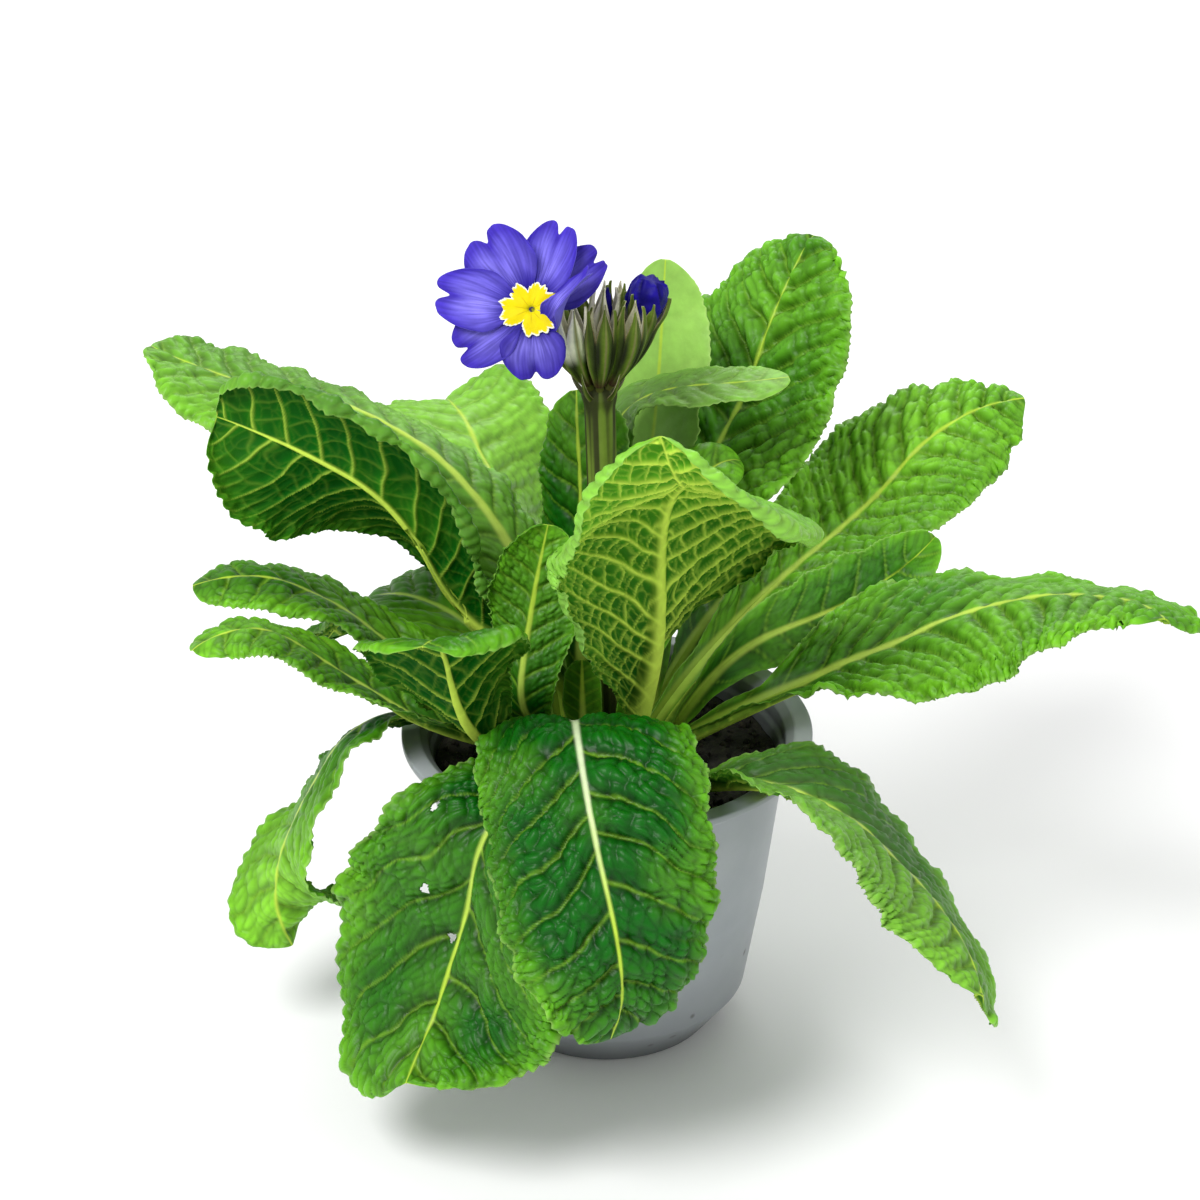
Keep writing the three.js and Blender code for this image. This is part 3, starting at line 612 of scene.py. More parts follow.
def leaf_veins(leaf, x, y, share, seed):
    """How deep each point lies in the leaf's veins, and how far it bulges between them."""
    length = leaf["length"]
    pairs = max(7, round(length * (1 - leaf["stalk"]) / leaf["spacing"]))
    spacing = length * (1 - leaf["stalk"]) / pairs
    side = np.where(x < 0, 1, 0)
    warp = 0.26 * value_noise(x / 11 + 9, y / 13, seed)
    warp += 0.05 * value_noise(x / 4, y / 5, seed + 1)
    out = np.abs(x)
    slant = VEIN_SLANT + 0.7 * np.exp(-(y - leaf["stalk"] * length) / (0.25 * length))
    phase = (y - slant * out - 0.006 * out**2) / spacing + 0.5 * side + warp
    off = to_whole(phase) * spacing * 0.8
    fork = to_whole(phase + 0.5) * spacing * 0.8
    fork_share = smoothstep(0.2, 0.6, share)
    band = np.floor(phase)
    cross = (out + 0.55 * y) / 5.2 + 0.5 * (band % 2) + 0.6 * value_noise(x / 6, y / 6, seed + 2)
    cross_off = to_whole(cross) * 4.2
    size = leaf["cell"] * min(1, 0.6 + leaf["width"] / 150)
    bent = 0.4 * value_noise(x / 5, y / 5, seed + 10)
    rows = phase * spacing / (0.9 * size) + bent + 7
    cell = cell_borders(out / (1.2 * size) + bent + 31 + 20 * side, rows, seed + 3)
    side_width = (0.52 - 0.27 * share) * leaf["rib"]
    side_vein = bell(off, side_width) * (1 - 0.5 * smoothstep(0.7, 1, share))
    fork_vein = bell(fork, 0.3) * smoothstep(0.4, 0.8, share) * 0.5
    cross_vein = bell(cross_off, 0.32)
    small_vein = bell(cell * size, 0.24)
    uneven = 0.8 + 0.3 * value_noise(x / 5, y / 5, seed + 4)
    uneven = uneven * (0.6 + 0.4 * smoothstep(0, 0.5, share))
    bulge = (
        1.9 * dome(off / (0.38 * spacing)) * (1 - 0.35 * fork_share)
        + 0.7 * dome(fork / (0.2 * spacing)) * fork_share
        + 0.42 * dome(cross_off / 1.7)
        + leaf["cells"] * dome(cell / 0.34) * uneven
        - 1.7
    )
    crease = np.maximum(small_vein**0.5, 0.4 * cross_vein**0.5)
    top_veins = np.maximum(side_vein**1.5, 0.35 * fork_vein)
    net = leaf.get("net", 0.5 + leaf["tone"])
    under_veins = np.maximum.reduce(
        [side_vein**2, 0.8 * fork_vein, 0.38 * net * cross_vein, 0.14 * net * small_vein]
    )
    return top_veins, under_veins, bulge, crease


def leaf_tints(leaf, grid, veins, midrib, seed):
    """The colours of a leaf's top and underside, with painted light and shade on its crinkles and
    towards its foot. grid holds x, y, share and t of each point.
    """
    x, y, share, t = grid
    top_veins, under_veins, bulge, crease = veins
    patch = value_noise(x / 16, y / 20, seed + 5)
    # The half shade paints light on one half of the blade and shade on the other.
    tone = leaf["tone"] + 0.22 * patch + leaf["lean"] * np.tanh(x / 3)
    # Deeper green towards the foot: partly the leaf's own colour and partly painted shade of the
    # crown.
    tone = tone + leaf["tip"] * smoothstep(0.4, 0.8, t) - 0.3 * (1 - smoothstep(0.2, 0.5, t))
    tone = np.clip(tone, 0, 1)
    hollow = np.clip(0.5 - 0.5 * bulge, 0, 1)
    rib = blend(MIDRIB_GREEN, MIDRIB_CREAM, leaf["cream"] * (1 - smoothstep(0.45, 0.8, t)))
    edge = 0.6 * smoothstep(0.6, 1.0, share) + 0.4 * smoothstep(0.78, 1.0, t)
    edge = np.clip(edge * (0.75 + 0.5 * patch), 0, 0.85)
    top = blend(blend(TOP_DEEP, TOP_PALE, tone), TOP_EDGE, edge)
    # Painted shade in the hollows and creases of the crinkles and painted light on their tops, as
    # strong as the crinkles are high.
    depth = min(1, leaf["puff"])
    top = top * (1 + depth * (0.4 - 0.95 * hollow - 0.24 * crease))[..., None]
    top = blend(top, TOP_VEIN, 0.44 * top_veins)
    strip = leaf["strip"] * smoothstep(0.8, 0.88, share)
    rim = np.maximum(0.4 * smoothstep(0.95, 1, share), strip)
    top = blend(top, TOP_RIM, rim + leaf["faded"])
    top = blend(top, rib, midrib * 0.95)
    under = blend(blend(UNDER_DEEP, UNDER_PALE, tone), TOP_EDGE, 0.25 * edge)
    # Painted light where the underside bulges out below the top's hollows, and painted shade
    # between.
    under = under * (0.72 + 0.5 * hollow)[..., None]
    bold = leaf["bold"] * (1 - 0.3 * share)
    under = blend(under, UNDER_VEIN, np.clip(under_veins, 0, 1) * bold)
    under = blend(under, UNDER_VEIN, 0.85 * midrib)
    stalk = (1 - smoothstep(leaf["stalk"] * 0.6, leaf["stalk"] + 0.1, t)) * (0.12 + 0.78 * midrib)
    # Painted shade of the crown: the blade darkens towards its foot.
    away_from_foot = (0.72 + 0.28 * smoothstep(0.12, 0.5, t))[..., None]
    return blend(top * away_from_foot, STALK_PALE, stalk), blend(under * away_from_foot, STALK_PALE, stalk * 0.8)


# The rows and columns of points for each fineness.
GRIDS = {"near": (301, 141), "middle": (221, 85), "far": (131, 71), "tiny": (71, 31)}


def with_margin(leaf, points, grid, spread, seed):
    """The leaf's points with teeth and scallops that push the margin out and in, and ruffles
    and ripples that lift it. spread is 0 on the stalk and 1 on the blade."""
    x, y, share, t = grid
    side = np.sign(x)
    ride = y / TOOTH + 0.8 * value_noise(y / 7, 3, seed + 6)
    teeth = np.abs(ride % 1 - 0.35) - 0.25
    scallops = leaf["ragged"] * value_noise(y / 6.5, side * 2 + 5, seed + 7)
    push = (teeth + scallops) * smoothstep(0.72, 1, share) * spread * side
    waves = np.sin(2 * np.pi * y / 15 + 2.2 * side + 3 * value_noise(y / 30, 0, seed + 8))
    ripples = leaf["frill"] * np.sin(2 * np.pi * y / 4.5 + 2 * ride) * smoothstep(0.7, 1, share)
    lift = min(1, leaf["width"] / 50) * (waves * smoothstep(0.35, 1, share) ** 2 + ripples)
    lift = leaf["ruffle"] * (lift + 0.6 * value_noise(x / 14, y / 14, seed + 9))
    lift = lift * np.maximum(spread, 0.5 * smoothstep(0.4, 1, share) * smoothstep(0.08, 0.2, t))
    normal, outward = grid_normals(points)
    return points + outward * push[..., None] + normal * lift[..., None]


def solid_cells(leaf, x, y, seed):
    """Which cells of the grid stay, because no corner of theirs is in a hole."""
    kept = np.ones(x.shape, dtype=bool)
    for hole_x, hole_y, radius, stretch in leaf["holes"]:
        away = np.hypot((x - hole_x) * stretch, y - hole_y) + 0.5 * value_noise(x, y, seed)
        kept &= away > radius
    return kept[:-1, :-1] & kept[1:, :-1] & kept[:-1, 1:] & kept[1:, 1:]


def make_leaf(name, leaf, seed):
    rows, columns = GRIDS[leaf["grid"]]
    t = 1 - (1 - np.linspace(0, 1, rows)) ** 1.3
    even = np.linspace(-1, 1, columns)
    across = np.sign(even) * np.abs(even) ** 1.1
    points = leaf_sheet(leaf, t, across)
    if leaf["flipped"]:
        points = points[:, ::-1]
    width = half_width(leaf, t)[:, None]
    spread = smoothstep(4, 12, width)
    x = across * width
    grid = np.broadcast_arrays(x, t[:, None] * leaf["length"], np.abs(across), t[:, None])
    _, y, share, _ = grid
    points = with_margin(leaf, points, grid, spread, seed)

    veins = leaf_veins(leaf, x, y, share, seed)
    _, under_veins, bulge, _ = veins
    taper = [0, leaf["stalk"], leaf["stalk"] + 0.25, 0.8, 1]
    rib = leaf["rib"] * np.interp(t, taper, [2.4, 2.2, 1.25, 0.6, 0.2])[:, None]
    midrib = np.exp(-((x / (rib * 0.75)) ** 4))
    clear = 1 - bell(x, rib * 2)
    normal, _ = grid_normals(points)
    thin_margin = smoothstep(0.9, 1, share)
    rise = bulge * leaf["puff"] * spread * clear * (1 - 0.4 * thin_margin)
    top = points + normal * (0.2 + rise)[..., None]
    ridge = 0.5 * under_veins * spread * clear + 0.95 * np.sqrt(np.clip(rib**2 - x**2, 0, None))
    thick = (0.35 + ridge) * (1 - 0.5 * thin_margin)
    under = top - normal * thick[..., None]

    top_tint, under_tint = leaf_tints(leaf, grid, veins, midrib, seed)
    bake_places = np.broadcast_arrays(0.25 + 0.24 * across, 0.005 + 0.99 * t[:, None])
    places = np.stack(bake_places, -1).reshape(-1, 2)
    kept = solid_cells(leaf, x, y, seed)
    shape = Shape()
    shape.sheet(top, under, top_tint, under_tint, kept, (0, 1), places)
    piece = shape.piece(f"blade_{name}", LEAF_TOP, LEAF_UNDER)
    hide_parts(f"leaf_{name}")


for order, (leaf_name, leaf_values) in enumerate(LEAVES.items()):
    make_leaf(leaf_name, {**USUAL_LEAF, **leaf_values}, FIRST_SEED + SEED_STEP * order)


# ---- pot ----
_, POT_CORNER = box_of("pot")
RIM_RADIUS, _, POT_HEIGHT = POT_CORNER
PLASTIC_DARK = colour(160, 166, 172)
PLASTIC_PALE = colour(180, 185, 190)
DIRT = colour(60, 52, 40)
DRAIN_HOLES = 6
DRAIN_RADIUS = 3
DRAIN_AWAY = 19  # from the middle of the base
POT_LIP = [48, POT_HEIGHT]  # the inner edge of the rim
# [radius, height] of the pot's outside from the base up, then of its inside down to the floor.
POT_PROFILE = [
    [28, 0], [36.3, 11], [41, 39], [44.3, 65], [45.6, 76], [46.8, 77], [46.8, 81],
    [RIM_RADIUS, 81], [RIM_RADIUS, POT_HEIGHT], POT_LIP,
    [45.6, 81], [45.6, 77], [44.4, 76], [43.1, 65], [39.8, 39], [35.1, 11], [28, 1.5],
]


def rounded(profile, reach):
    """The same outline with each corner turned into a small curve."""
    profile = np.array(profile, dtype=float)
    out = [profile[0]]
    for before, corner, after in zip(profile, profile[1:], profile[2:]):
        arm_in = before - corner
        arm_out = after - corner
        start = corner + arm_in * min(0.45, reach / np.linalg.norm(arm_in))
        end = corner + arm_out * min(0.45, reach / np.linalg.norm(arm_out))
        for u in (0.0, 0.33, 0.67, 1.0):
            out.append((1 - u) ** 2 * start + 2 * u * (1 - u) * corner + u**2 * end)
    out.append(profile[-1])
    return np.array(out)


def turned_rings(profile, sides):
    """Rings of points about the Z axis through the [radius, height] points of a profile."""
    around = towards(turns(sides), np.array([1, 0, 0]), np.array([0, 1, 0]))
    radius, height = np.asarray(profile).T[..., None, None]
    return radius * around + height * [0, 0, 1]


def pot_material():
    """Blue-grey plastic with a soft cloudiness, a fine grain and a few specks of dirt. The
    piece's tints darken it with painted shade towards its foot and inside it."""
    material, tree, shader = new_material("pot_plastic", 0.42, 0.4)
    cloudy = tree.nodes.new("ShaderNodeValToRGB")
    ends = zip(cloudy.color_ramp.elements, (0.3, 0.7), (PLASTIC_DARK, PLASTIC_PALE))
    for element, position, shade in ends:
        element.position = position
        element.color = [*shade, 1]
    feed(tree, cloudy, {"Fac": noise(tree, 35, 5)})
    plastic = tree.nodes.new("ShaderNodeVectorMath")
    plastic.operation = "MULTIPLY"
    feed(tree, plastic, {0: cloudy.outputs["Color"], 1: piece_tint(tree)})
    cells = tree.nodes.new("ShaderNodeTexVoronoi")
    feed(tree, cells, {"Vector": place_in_piece(tree), "Scale": 120})
    speck = remapped(tree, cells.outputs["Distance"], 0.16, 0.08)
    dusty = remapped(tree, noise(tree, 28), 0.54, 0.6)
    dirt = tree.nodes.new("ShaderNodeMath")
    dirt.operation = "MULTIPLY"
    feed(tree, dirt, {0: speck, 1: dusty})
    soiled = tree.nodes.new("ShaderNodeMix")
    soiled.data_type = "RGBA"
    mixed = {"Factor": dirt.outputs["Value"], "A": plastic.outputs["Vector"], "B": [*DIRT, 1]}
    feed(tree, soiled, mixed)
    feed(tree, shader, {"Base Color": soiled.outputs["Result"]})
    add_bump(tree, shader, noise(tree, 900), 0.08, 0.2)
    return material


def make_pot():
    """The pot, with painted shade towards its foot and inside, and the drain holes cut out of
    its floor.
    """
    rings = turned_rings(rounded(POT_PROFILE, 0.5), 180)
    height = rings[..., 2:]
    # Painted shade: the outside of the pot darkens towards its foot.
    clean = 0.4 + 0.6 * smoothstep(0, 26, height)
    inside = 4 * POT_PROFILE.index(POT_LIP)  # each corner became four rings
    # Painted shade inside the pot, lighter again up at the rim.
    clean[inside:] = 0.28 + 0.42 * smoothstep(77, 82, height[inside:])
    shape = Shape()
    shape.tube(rings, clean)
    pot = shape.piece("nursery_pot", pot_material())
    drills = Shape()
    drill = turned_rings([[DRAIN_RADIUS, -1], [DRAIN_RADIUS, 3]], 24)
    for heading in np.arange(DRAIN_HOLES) * 360 / DRAIN_HOLES:
        drills.tube(drill + DRAIN_AWAY * pointing(heading, 0), DIRT)
    cutter = drills.piece("drain_cutter")
    cut = pot.modifiers.new("drain", "BOOLEAN")
    cut.object = cutter
    cut.operation = "DIFFERENCE"
    view = bpy.context.evaluated_depsgraph_get()
    pot.data = bpy.data.meshes.new_from_object(pot.evaluated_get(view))
    pot.modifiers.clear()
    bpy.data.objects.remove(cutter)
    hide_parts("pot")


# ---- soil and crown ----
SOIL_DARK = colour(14, 15, 11)
SOIL_BROWN = colour(52, 48, 36)
SOIL_PALE = colour(150, 140, 118)
CROWN_BROWN = colour(96, 84, 50)
SOIL_GRAINS = 700
PALE_GRAINS = 0.035  # the share of grains that are pale
CROWN_RIDGES = 9


def ball(rows=7, columns=10):
    """Rings of a unit ball that is flat at its two ends."""
    rise = np.linspace(-0.97, 0.97, rows)
    return turned_rings(np.stack([np.sqrt(1 - rise**2), rise], -1), columns)


def make_soil():
    low, high = box_of("soil")
    edge = high[0] - 0.1
    random = np.random.RandomState(5)
    top = high[2] - 1.2
    side = [[27.5, low[2]], [edge - 8, 11], [edge - 0.6, top - 3]]
    surface = [[radius, top] for radius in np.linspace(edge, 1, 60)]
    rings = turned_rings(side + surface, 120)
    x, y = rings[..., 0], rings[..., 1]
    lumps = 0.7 * value_noise(x / 4, y / 4, 11) + 0.4 * value_noise(x / 1.6, y / 1.6, 12)
    rings[len(side):, :, 2] += lumps[len(side):]
    shade = 0.5 + 0.5 * value_noise(x / 1.1, y / 1.1, 13)
    shape = Shape()
    shape.tube(rings, blend(SOIL_DARK, SOIL_BROWN, shade * 0.8))
    grain = ball()
    for _ in range(SOIL_GRAINS):
        reach = edge * math.sqrt(random.uniform(0.02, 0.93))
        around = random.uniform(0, 2 * math.pi)
        size = random.uniform(0.35, 1.3) * random.uniform(0.6, 1, 3)
        rough = 1 + random.uniform(-0.25, 0.25, grain.shape[:2])[..., None]
        place = [reach * math.cos(around), reach * math.sin(around), top + random.uniform(0, 0.9)]
        pale = random.uniform(0, 1)
        tint = SOIL_PALE if pale > 1 - PALE_GRAINS else blend(SOIL_DARK, SOIL_BROWN, pale)
        shape.tube(grain * rough * size + place, tint)
    soil = shape.piece("potting_soil", SOIL)
    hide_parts("soil")


def make_crown():
    low, high = box_of("crown")
    bottom, top = low[2], high[2]
    profile = [[5.2, bottom], [5.4, bottom + 0.8], [5.0, top - 0.2], [3, top + 0.4]]
    rings = turned_rings(profile, 48)
    ridges = np.cos(CROWN_RIDGES * turns(48))
    rings[..., :2] *= (1 + 0.05 * ridges)[:, None]
    shape = Shape()
    shape.tube(rings, blend(CROWN_BROWN, STALK_PALE, 0.5 + 0.5 * ridges))
    crown = shape.piece("leaf_crown", STALK)
    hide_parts("crown")


# ---- flower stem and umbel ----
SCAPE_LOW, _ = box_of("scape")
SCAPE_RADIUS = 3.9
SCAPE_RIBS = 11
UMBEL = np.array([-2.0, 0, 177])
CALYX_LENGTH = 20
CALYX_START = 7
RING_CALYCES = 7
RING_TILT = 27
BRACTS = 5
SEPALS = 5
BUD_FOLDS = 5
LARGE_BUD_IN = 5
SMALL_BUD_IN = 8
CREAMY = {2: 1.0, 8: 0.8}  # the calyces whose sepals have a wide creamy skin towards the tips
SCAPE_GREEN = colour(112, 136, 50)
SCAPE_PURPLE = colour(50, 50, 30)
CALYX_GREEN = colour(96, 120, 32)
CALYX_DARK = colour(26, 30, 10)
CALYX_LINE = colour(178, 158, 118)
CALYX_PALE = colour(250, 247, 222)
CALYX_BASE = colour(72, 36, 34)


def path_rings(path, radii, columns):
    """Rings about a path of points, one radius for each point or for each point and column."""
    along = unit(np.gradient(path, axis=0))
    side, _ = frame_along(along[0])
    radii = np.asarray(radii, dtype=float).reshape(len(path), -1, 1)
    rings = []
    for point, forward, radius in zip(path, along, radii):
        side = unit(side - forward * side.dot(forward))
        rings.append(point + towards(turns(columns), side, np.cross(forward, side)) * radius)
    return np.array(rings)


def make_scape():
    t = np.linspace(0, 1, 90)
    foot = SCAPE_LOW[2]
    path = np.stack([UMBEL[0] * t**1.6, 0 * t, foot + (UMBEL[2] + 2 - foot) * t], -1)
    angle = turns(72)
    ridge = np.abs(np.cos(SCAPE_RIBS / 2 * (angle - np.pi) + 0.3 * np.sin(angle * 2)))
    t = t[:, None]
    swell = 1 - 0.04 * np.sin(np.pi * t) + 0.16 * smoothstep(0.94, 0.975, t)
    swell -= 0.5 * smoothstep(0.978, 1, t)
    rings = path_rings(path, SCAPE_RADIUS * swell * (0.94 + 0.06 * ridge), len(angle))
    streak = 0.5 + 0.5 * value_noise(angle * 3.2, t * 3, 21)
    purple = 2.4 * streak - 0.7 * ridge - 0.3 + 0.9 * smoothstep(0.92, 0.97, t)
    shape = Shape()
    shape.tube(rings, blend(SCAPE_GREEN, SCAPE_PURPLE, np.clip(purple, 0, 0.9)))
    scape = shape.piece("flower_stem", STALK)
    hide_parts("scape")


def umbel_directions():
    """The calyces of the ring, of which the front ones stand steeper, and the middle one."""
    headings = 170 + 360 * np.arange(RING_CALYCES) / RING_CALYCES
    in_front = np.maximum(0, -np.sin(np.radians(headings)))
    ring = pointing(headings, 90 - RING_TILT + 10 * in_front)
    return [*ring, pointing(50, 83)]


def pointed_blade(shape, path, outward, radius, half_angle, open_at, bend=0, plump=0, creamy=0):
    """One pointed sepal or bract: a strip of a tube about the path, which narrows to a point
    above open_at. plump is how far its middle stands out, bend how far its tip does, and creamy
    how pale its skin is."""
    s = np.linspace(0, 1, 40)[:, None]
    v = np.linspace(-1, 1, 13)
    centre = between(s[:, 0], np.linspace(0, 1, len(path)), path)
    direction = unit(np.gradient(centre, axis=0))
    outward = unit(outward - direction * (direction @ outward)[:, None])[:, None]
    aside = np.cross(outward, direction[:, None])
    free = np.clip((s - open_at) / (1 - open_at), 0, 1)
    narrow = (1 - free) ** 1.15 * (1 + 0.3 * np.sin(np.pi * free))
    reach = radius(s) * (1 + plump * (1 - v**2) + 0.06 * bell(v, 0.16)) + bend * free**2
    spread = towards(math.radians(half_angle) * narrow * v, outward, aside)
    points = centre[:, None] + reach[..., None] * spread
    lengthwise = value_noise(v * 5, s * 2, 44)
    margin = smoothstep(0.84, 0.98, np.abs(v)) * smoothstep(0.0, 0.2, free)
    ribbed = np.clip(0.8 + 0.5 * lengthwise - 0.9 * np.abs(v) ** 1.5 * (1 - free), 0, 1)
    skin = smoothstep(0.0, 0.4, np.abs(v)) * smoothstep(0.35, 0.6, s)
    outside = blend(CALYX_DARK, CALYX_GREEN, ribbed)
    outside = blend(outside, CALYX_LINE, 0.55 * bell(v, 0.09) * (1 - 0.5 * s))
    outside = blend(outside, CALYX_BASE, 0.8 * (1 - smoothstep(0.0, 0.26, s)))
    outside = blend(outside, CALYX_LINE, 0.6 * margin)
    outside = blend(outside, CALYX_PALE, creamy * skin)
    inside = blend(CALYX_PALE, CALYX_GREEN, 0.2)
    shape.skin(points, 0.3, outside, inside)


def stalk_path(number, direction, length=CALYX_LENGTH):
    """21 points from the top of the stem, out along the flower stalk and up the calyx."""
    level = unit(direction * [1, 1, 0])
    in_ring = 1 if number <= RING_CALYCES else 0
    base = UMBEL + level * 1.6 * in_ring
    tip = UMBEL + direction * (CALYX_START + length)
    middle = base * 0.58 + tip * 0.42 + level * 4.2 * in_ring
    t = np.linspace(0, 1, 21)[:, None]
    return (1 - t) ** 2 * base + 2 * t * (1 - t) * middle + t**2 * tip


def make_calyx(number, direction):
    side, other = frame_along(direction)
    random = np.random.RandomState(40 + number)
    holds_bud = number == LARGE_BUD_IN

    def radius(s):
        waist = 4.3 if holds_bud else 3.3
        return smoothly([1.1, 1.9, 2.7, 3.2, 3.5, waist, waist - 0.2], s)

    shape = Shape()
    for sepal in range(SEPALS):
        turn = math.radians(360 / SEPALS * sepal + 23 * number)
        path = stalk_path(number, direction, CALYX_LENGTH * random.uniform(0.93, 1.04))[3:]
        bend = random.uniform(-1.4, 0.3) + (1.6 if holds_bud else 0)
        outward = towards(turn, side, other)
        looks = dict(bend=bend, plump=0.16, creamy=CREAMY.get(number, 0))
        pointed_blade(shape, path, outward, radius, half_angle=38, open_at=0.64, **looks)
    calyx = shape.piece(f"sepals_{number}", CALYX)
    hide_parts(f"calyx_{number}")


def make_pedicel(number, direction):
    path = stalk_path(number, direction)[:7]
    t = np.linspace(0, 1, len(path))[:, None]
    rings = path_rings(path, 1.15 - 0.2 * np.sin(np.pi * t), 14)
    shape = Shape()
    shape.tube(rings, blend(CALYX_BASE, SCAPE_GREEN, 0.3 + 0.3 * t))
    pedicel = shape.piece(f"flower_stalk_{number}", STALK)
    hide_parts(f"pedicel_{number}")


def make_bract(number):
    """A narrow pointed bract that hugs the foot of the flower stalks."""
    heading = 360 * (number - 0.7) / BRACTS
    level = pointing(heading, 0)
    stations = [[SCAPE_RADIUS - 0.8, -1.2], [SCAPE_RADIUS + 1.6, 2.2], [7.2, 8.0]]
    path = UMBEL + smoothly(stations, np.linspace(0, 1, 12)) @ [level, [0, 0, 1]]
    shape = Shape()
    outward = level - [0, 0, 0.6]
    pointed_blade(shape, path, outward, lambda s: 0.9 + 0 * s, half_angle=80, open_at=0.1)
    bract = shape.piece(f"pointed_bract_{number}", CALYX)
    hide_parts(f"bract_{number}")


# The bud's blue in painted shade and in painted light.
BUD_IN_SHADE = colour(9, 5, 84)
BUD_IN_LIGHT = colour(34, 18, 164)
BUD_FOOT = colour(196, 200, 150)


def make_bud(name, node, number, length, radii, twist, crumple):
    """Petals still rolled around each other: a turned shape with twisted overlapping folds, with
    painted shade under each fold.
    """
    path = stalk_path(number, umbel_directions()[number - 1])
    foot = path[9]
    direction = unit(path[-1] - foot)
    t = np.linspace(0, 1, 60)[:, None]
    angle = turns(84)
    saw = BUD_FOLDS * (angle / (2 * np.pi) + twist * t) % 1
    overlap = saw * 0.2 - 0.1 + 0.05 * bell(saw - 0.95, 0.05)
    grow = smoothstep(0.45, 0.75, t)
    rough = crumple * value_noise(angle * 3, t * 9, 31) * grow
    out = smoothly(radii, t) * (1 + overlap * grow + rough)
    rise = length * t + 0.5 * smoothstep(0.8, 1, t) * np.cos(BUD_FOLDS * angle + 6 * twist)
    rings = foot + out[..., None] * towards(angle, *frame_along(direction))
    rings = rings + rise[..., None] * direction
    # Painted shade where each fold tucks under the next, and painted light on the crumples that
    # stand out.
    shade = np.clip(0.35 + 0.5 * (saw - 0.5) + 2.2 * rough, 0, 1)
    tints = blend(blend(BUD_IN_SHADE, BUD_IN_LIGHT, shade), BUD_FOOT, 1 - smoothstep(0.3, 0.62, t))
    shape = Shape()
    shape.tube(rings, tints)
    bud = shape.piece(name, BUD)
    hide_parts(node)


def make_umbel():
    for number, direction in enumerate(umbel_directions(), start=1):
        make_calyx(number, direction)
        make_pedicel(number, direction)
    for number in range(1, BRACTS + 1):
        make_bract(number)
    radii = [0.8, 1.4, 2.2, 3.3, 4.2, 4.6, 4.5, 3.4]
    make_bud("rolled_bud_large", "bud_large", LARGE_BUD_IN, 18.5, radii, 0.3, 0.07)
    radii = [0.5, 1.1, 1.4, 1.4, 1.2, 0.2]
    make_bud("rolled_bud_small", "bud_small", SMALL_BUD_IN, 15, radii, 0.6, 0.05)


# ---- open flower ----
FLOWER_CENTRE = np.array([-18.2, -9, 202.4])
FLOWER_FACING = unit([-0.25, -0.85, 0.46])
PETAL_MIDDLE = colour(136, 126, 236)
PETAL_EDGE = colour(66, 48, 184)
PETAL_DEEP = colour(32, 18, 138)
PETAL_BACK = colour(120, 110, 210)
EYE_YELLOW = colour(226, 206, 0)
EYE_ORANGE = colour(172, 132, 10)
EYE_WHITE = colour(240, 238, 226)
EYE_THROAT = colour(204, 196, 24)
EYE_REACH = 7.8
EYE_HOLE = 0.7
STIGMA_GREEN = colour(196, 196, 60)
TUBE_GREEN = colour(206, 208, 150)
TUBE_VIOLET = colour(150, 140, 206)
# Each petal grows from its root, a heading about the flower's middle (0 is the viewer's right
# and 90 up), along its own heading. Its tip lifts towards the front, and it turns about its own
# length. Angles are in degrees and sizes in millimetres. `over` is how far it lies in front.
# shade darkens a whole petal: painted shade on the lower petals and on the hindmost one.
USUAL_PETAL = dict(away=3.2, shade=1.0)
PETALS = [
    dict(root=316, heading=50, lift=4, turn=-62, length=18.0, wide=6.2, over=3.0, away=5.4),
    dict(root=178, heading=177, lift=5, turn=-4, length=19.5, wide=7.4, over=1.0),
    dict(root=128, heading=131, lift=4, turn=-14, length=17.5, wide=9.4, over=0.7),
    dict(root=216, heading=216, lift=-6, turn=8, length=17.5, wide=7.8, over=0.5, shade=0.85),
    dict(root=77, heading=75, lift=3, turn=-8, length=18.0, wide=7.0, over=0.3),
    dict(root=280, heading=282, lift=-12, turn=-14, length=13.5, wide=7.8, over=0.1, shade=0.75),
    dict(root=36, heading=46, lift=-6, turn=-10, length=17.5, wide=7.0, over=-0.4, shade=0.75),
]


def flower_axes():
    right = unit(np.cross([0, 0, 1], FLOWER_FACING))
    return right, np.cross(FLOWER_FACING, right)


def petal_points(petal, s, v, veins, broad, order):
    """A petal's middle surface: a grid of points at s along it and v, from -1 to 1, across."""
    right, up = flower_axes()
    base = petal["away"] * towards(math.radians(petal["root"]), right, up)
    out = towards(math.radians(petal["heading"]), right, up)
    aside = np.cross(FLOWER_FACING, out)
    turn = math.radians(petal["turn"]) * smoothstep(0, 0.7, s)
    bend = math.radians(petal["lift"]) * s**0.8
    notch = 0.13 * bell(v, 0.12) + 0.012 * value_noise(v * 6, 0, 60 + order)
    lobes = 1 + 0.05 * np.sin(np.pi * np.abs(v)) ** 2
    outline = (0.5 + 0.5 * np.sqrt(1 - np.abs(v) ** 2.6)) * lobes * (1 - notch)
    along = petal["length"] * outline * s
    wide = 1.7 + (petal["wide"] - 1.7) * np.sin(np.pi / 2 * np.minimum(s / 0.8, 1)) ** 1.1
    across = v * wide
    height = (0.5 * v**2 - 0.8 * bell(v, 0.22) + 0.3 * np.sin(6 * v + 2 * order) * s) * s
    height += 0.35 * broad * s + 0.03 * veins * smoothstep(0.1, 0.4, s)
    raised = along * np.sin(bend) + petal["over"] * smoothstep(0, 0.5, s)
    raised = raised + 0.9 * wide * np.sin(np.abs(turn)) * smoothstep(0, 0.3, s)
    raised = raised + across * np.sin(turn) + height * np.cos(turn)
    aslant = across * np.cos(turn) - height * np.sin(turn)
    reach = np.stack([along * np.cos(bend), aslant, raised], -1)
    return FLOWER_CENTRE + base + reach @ [out, aside, FLOWER_FACING]


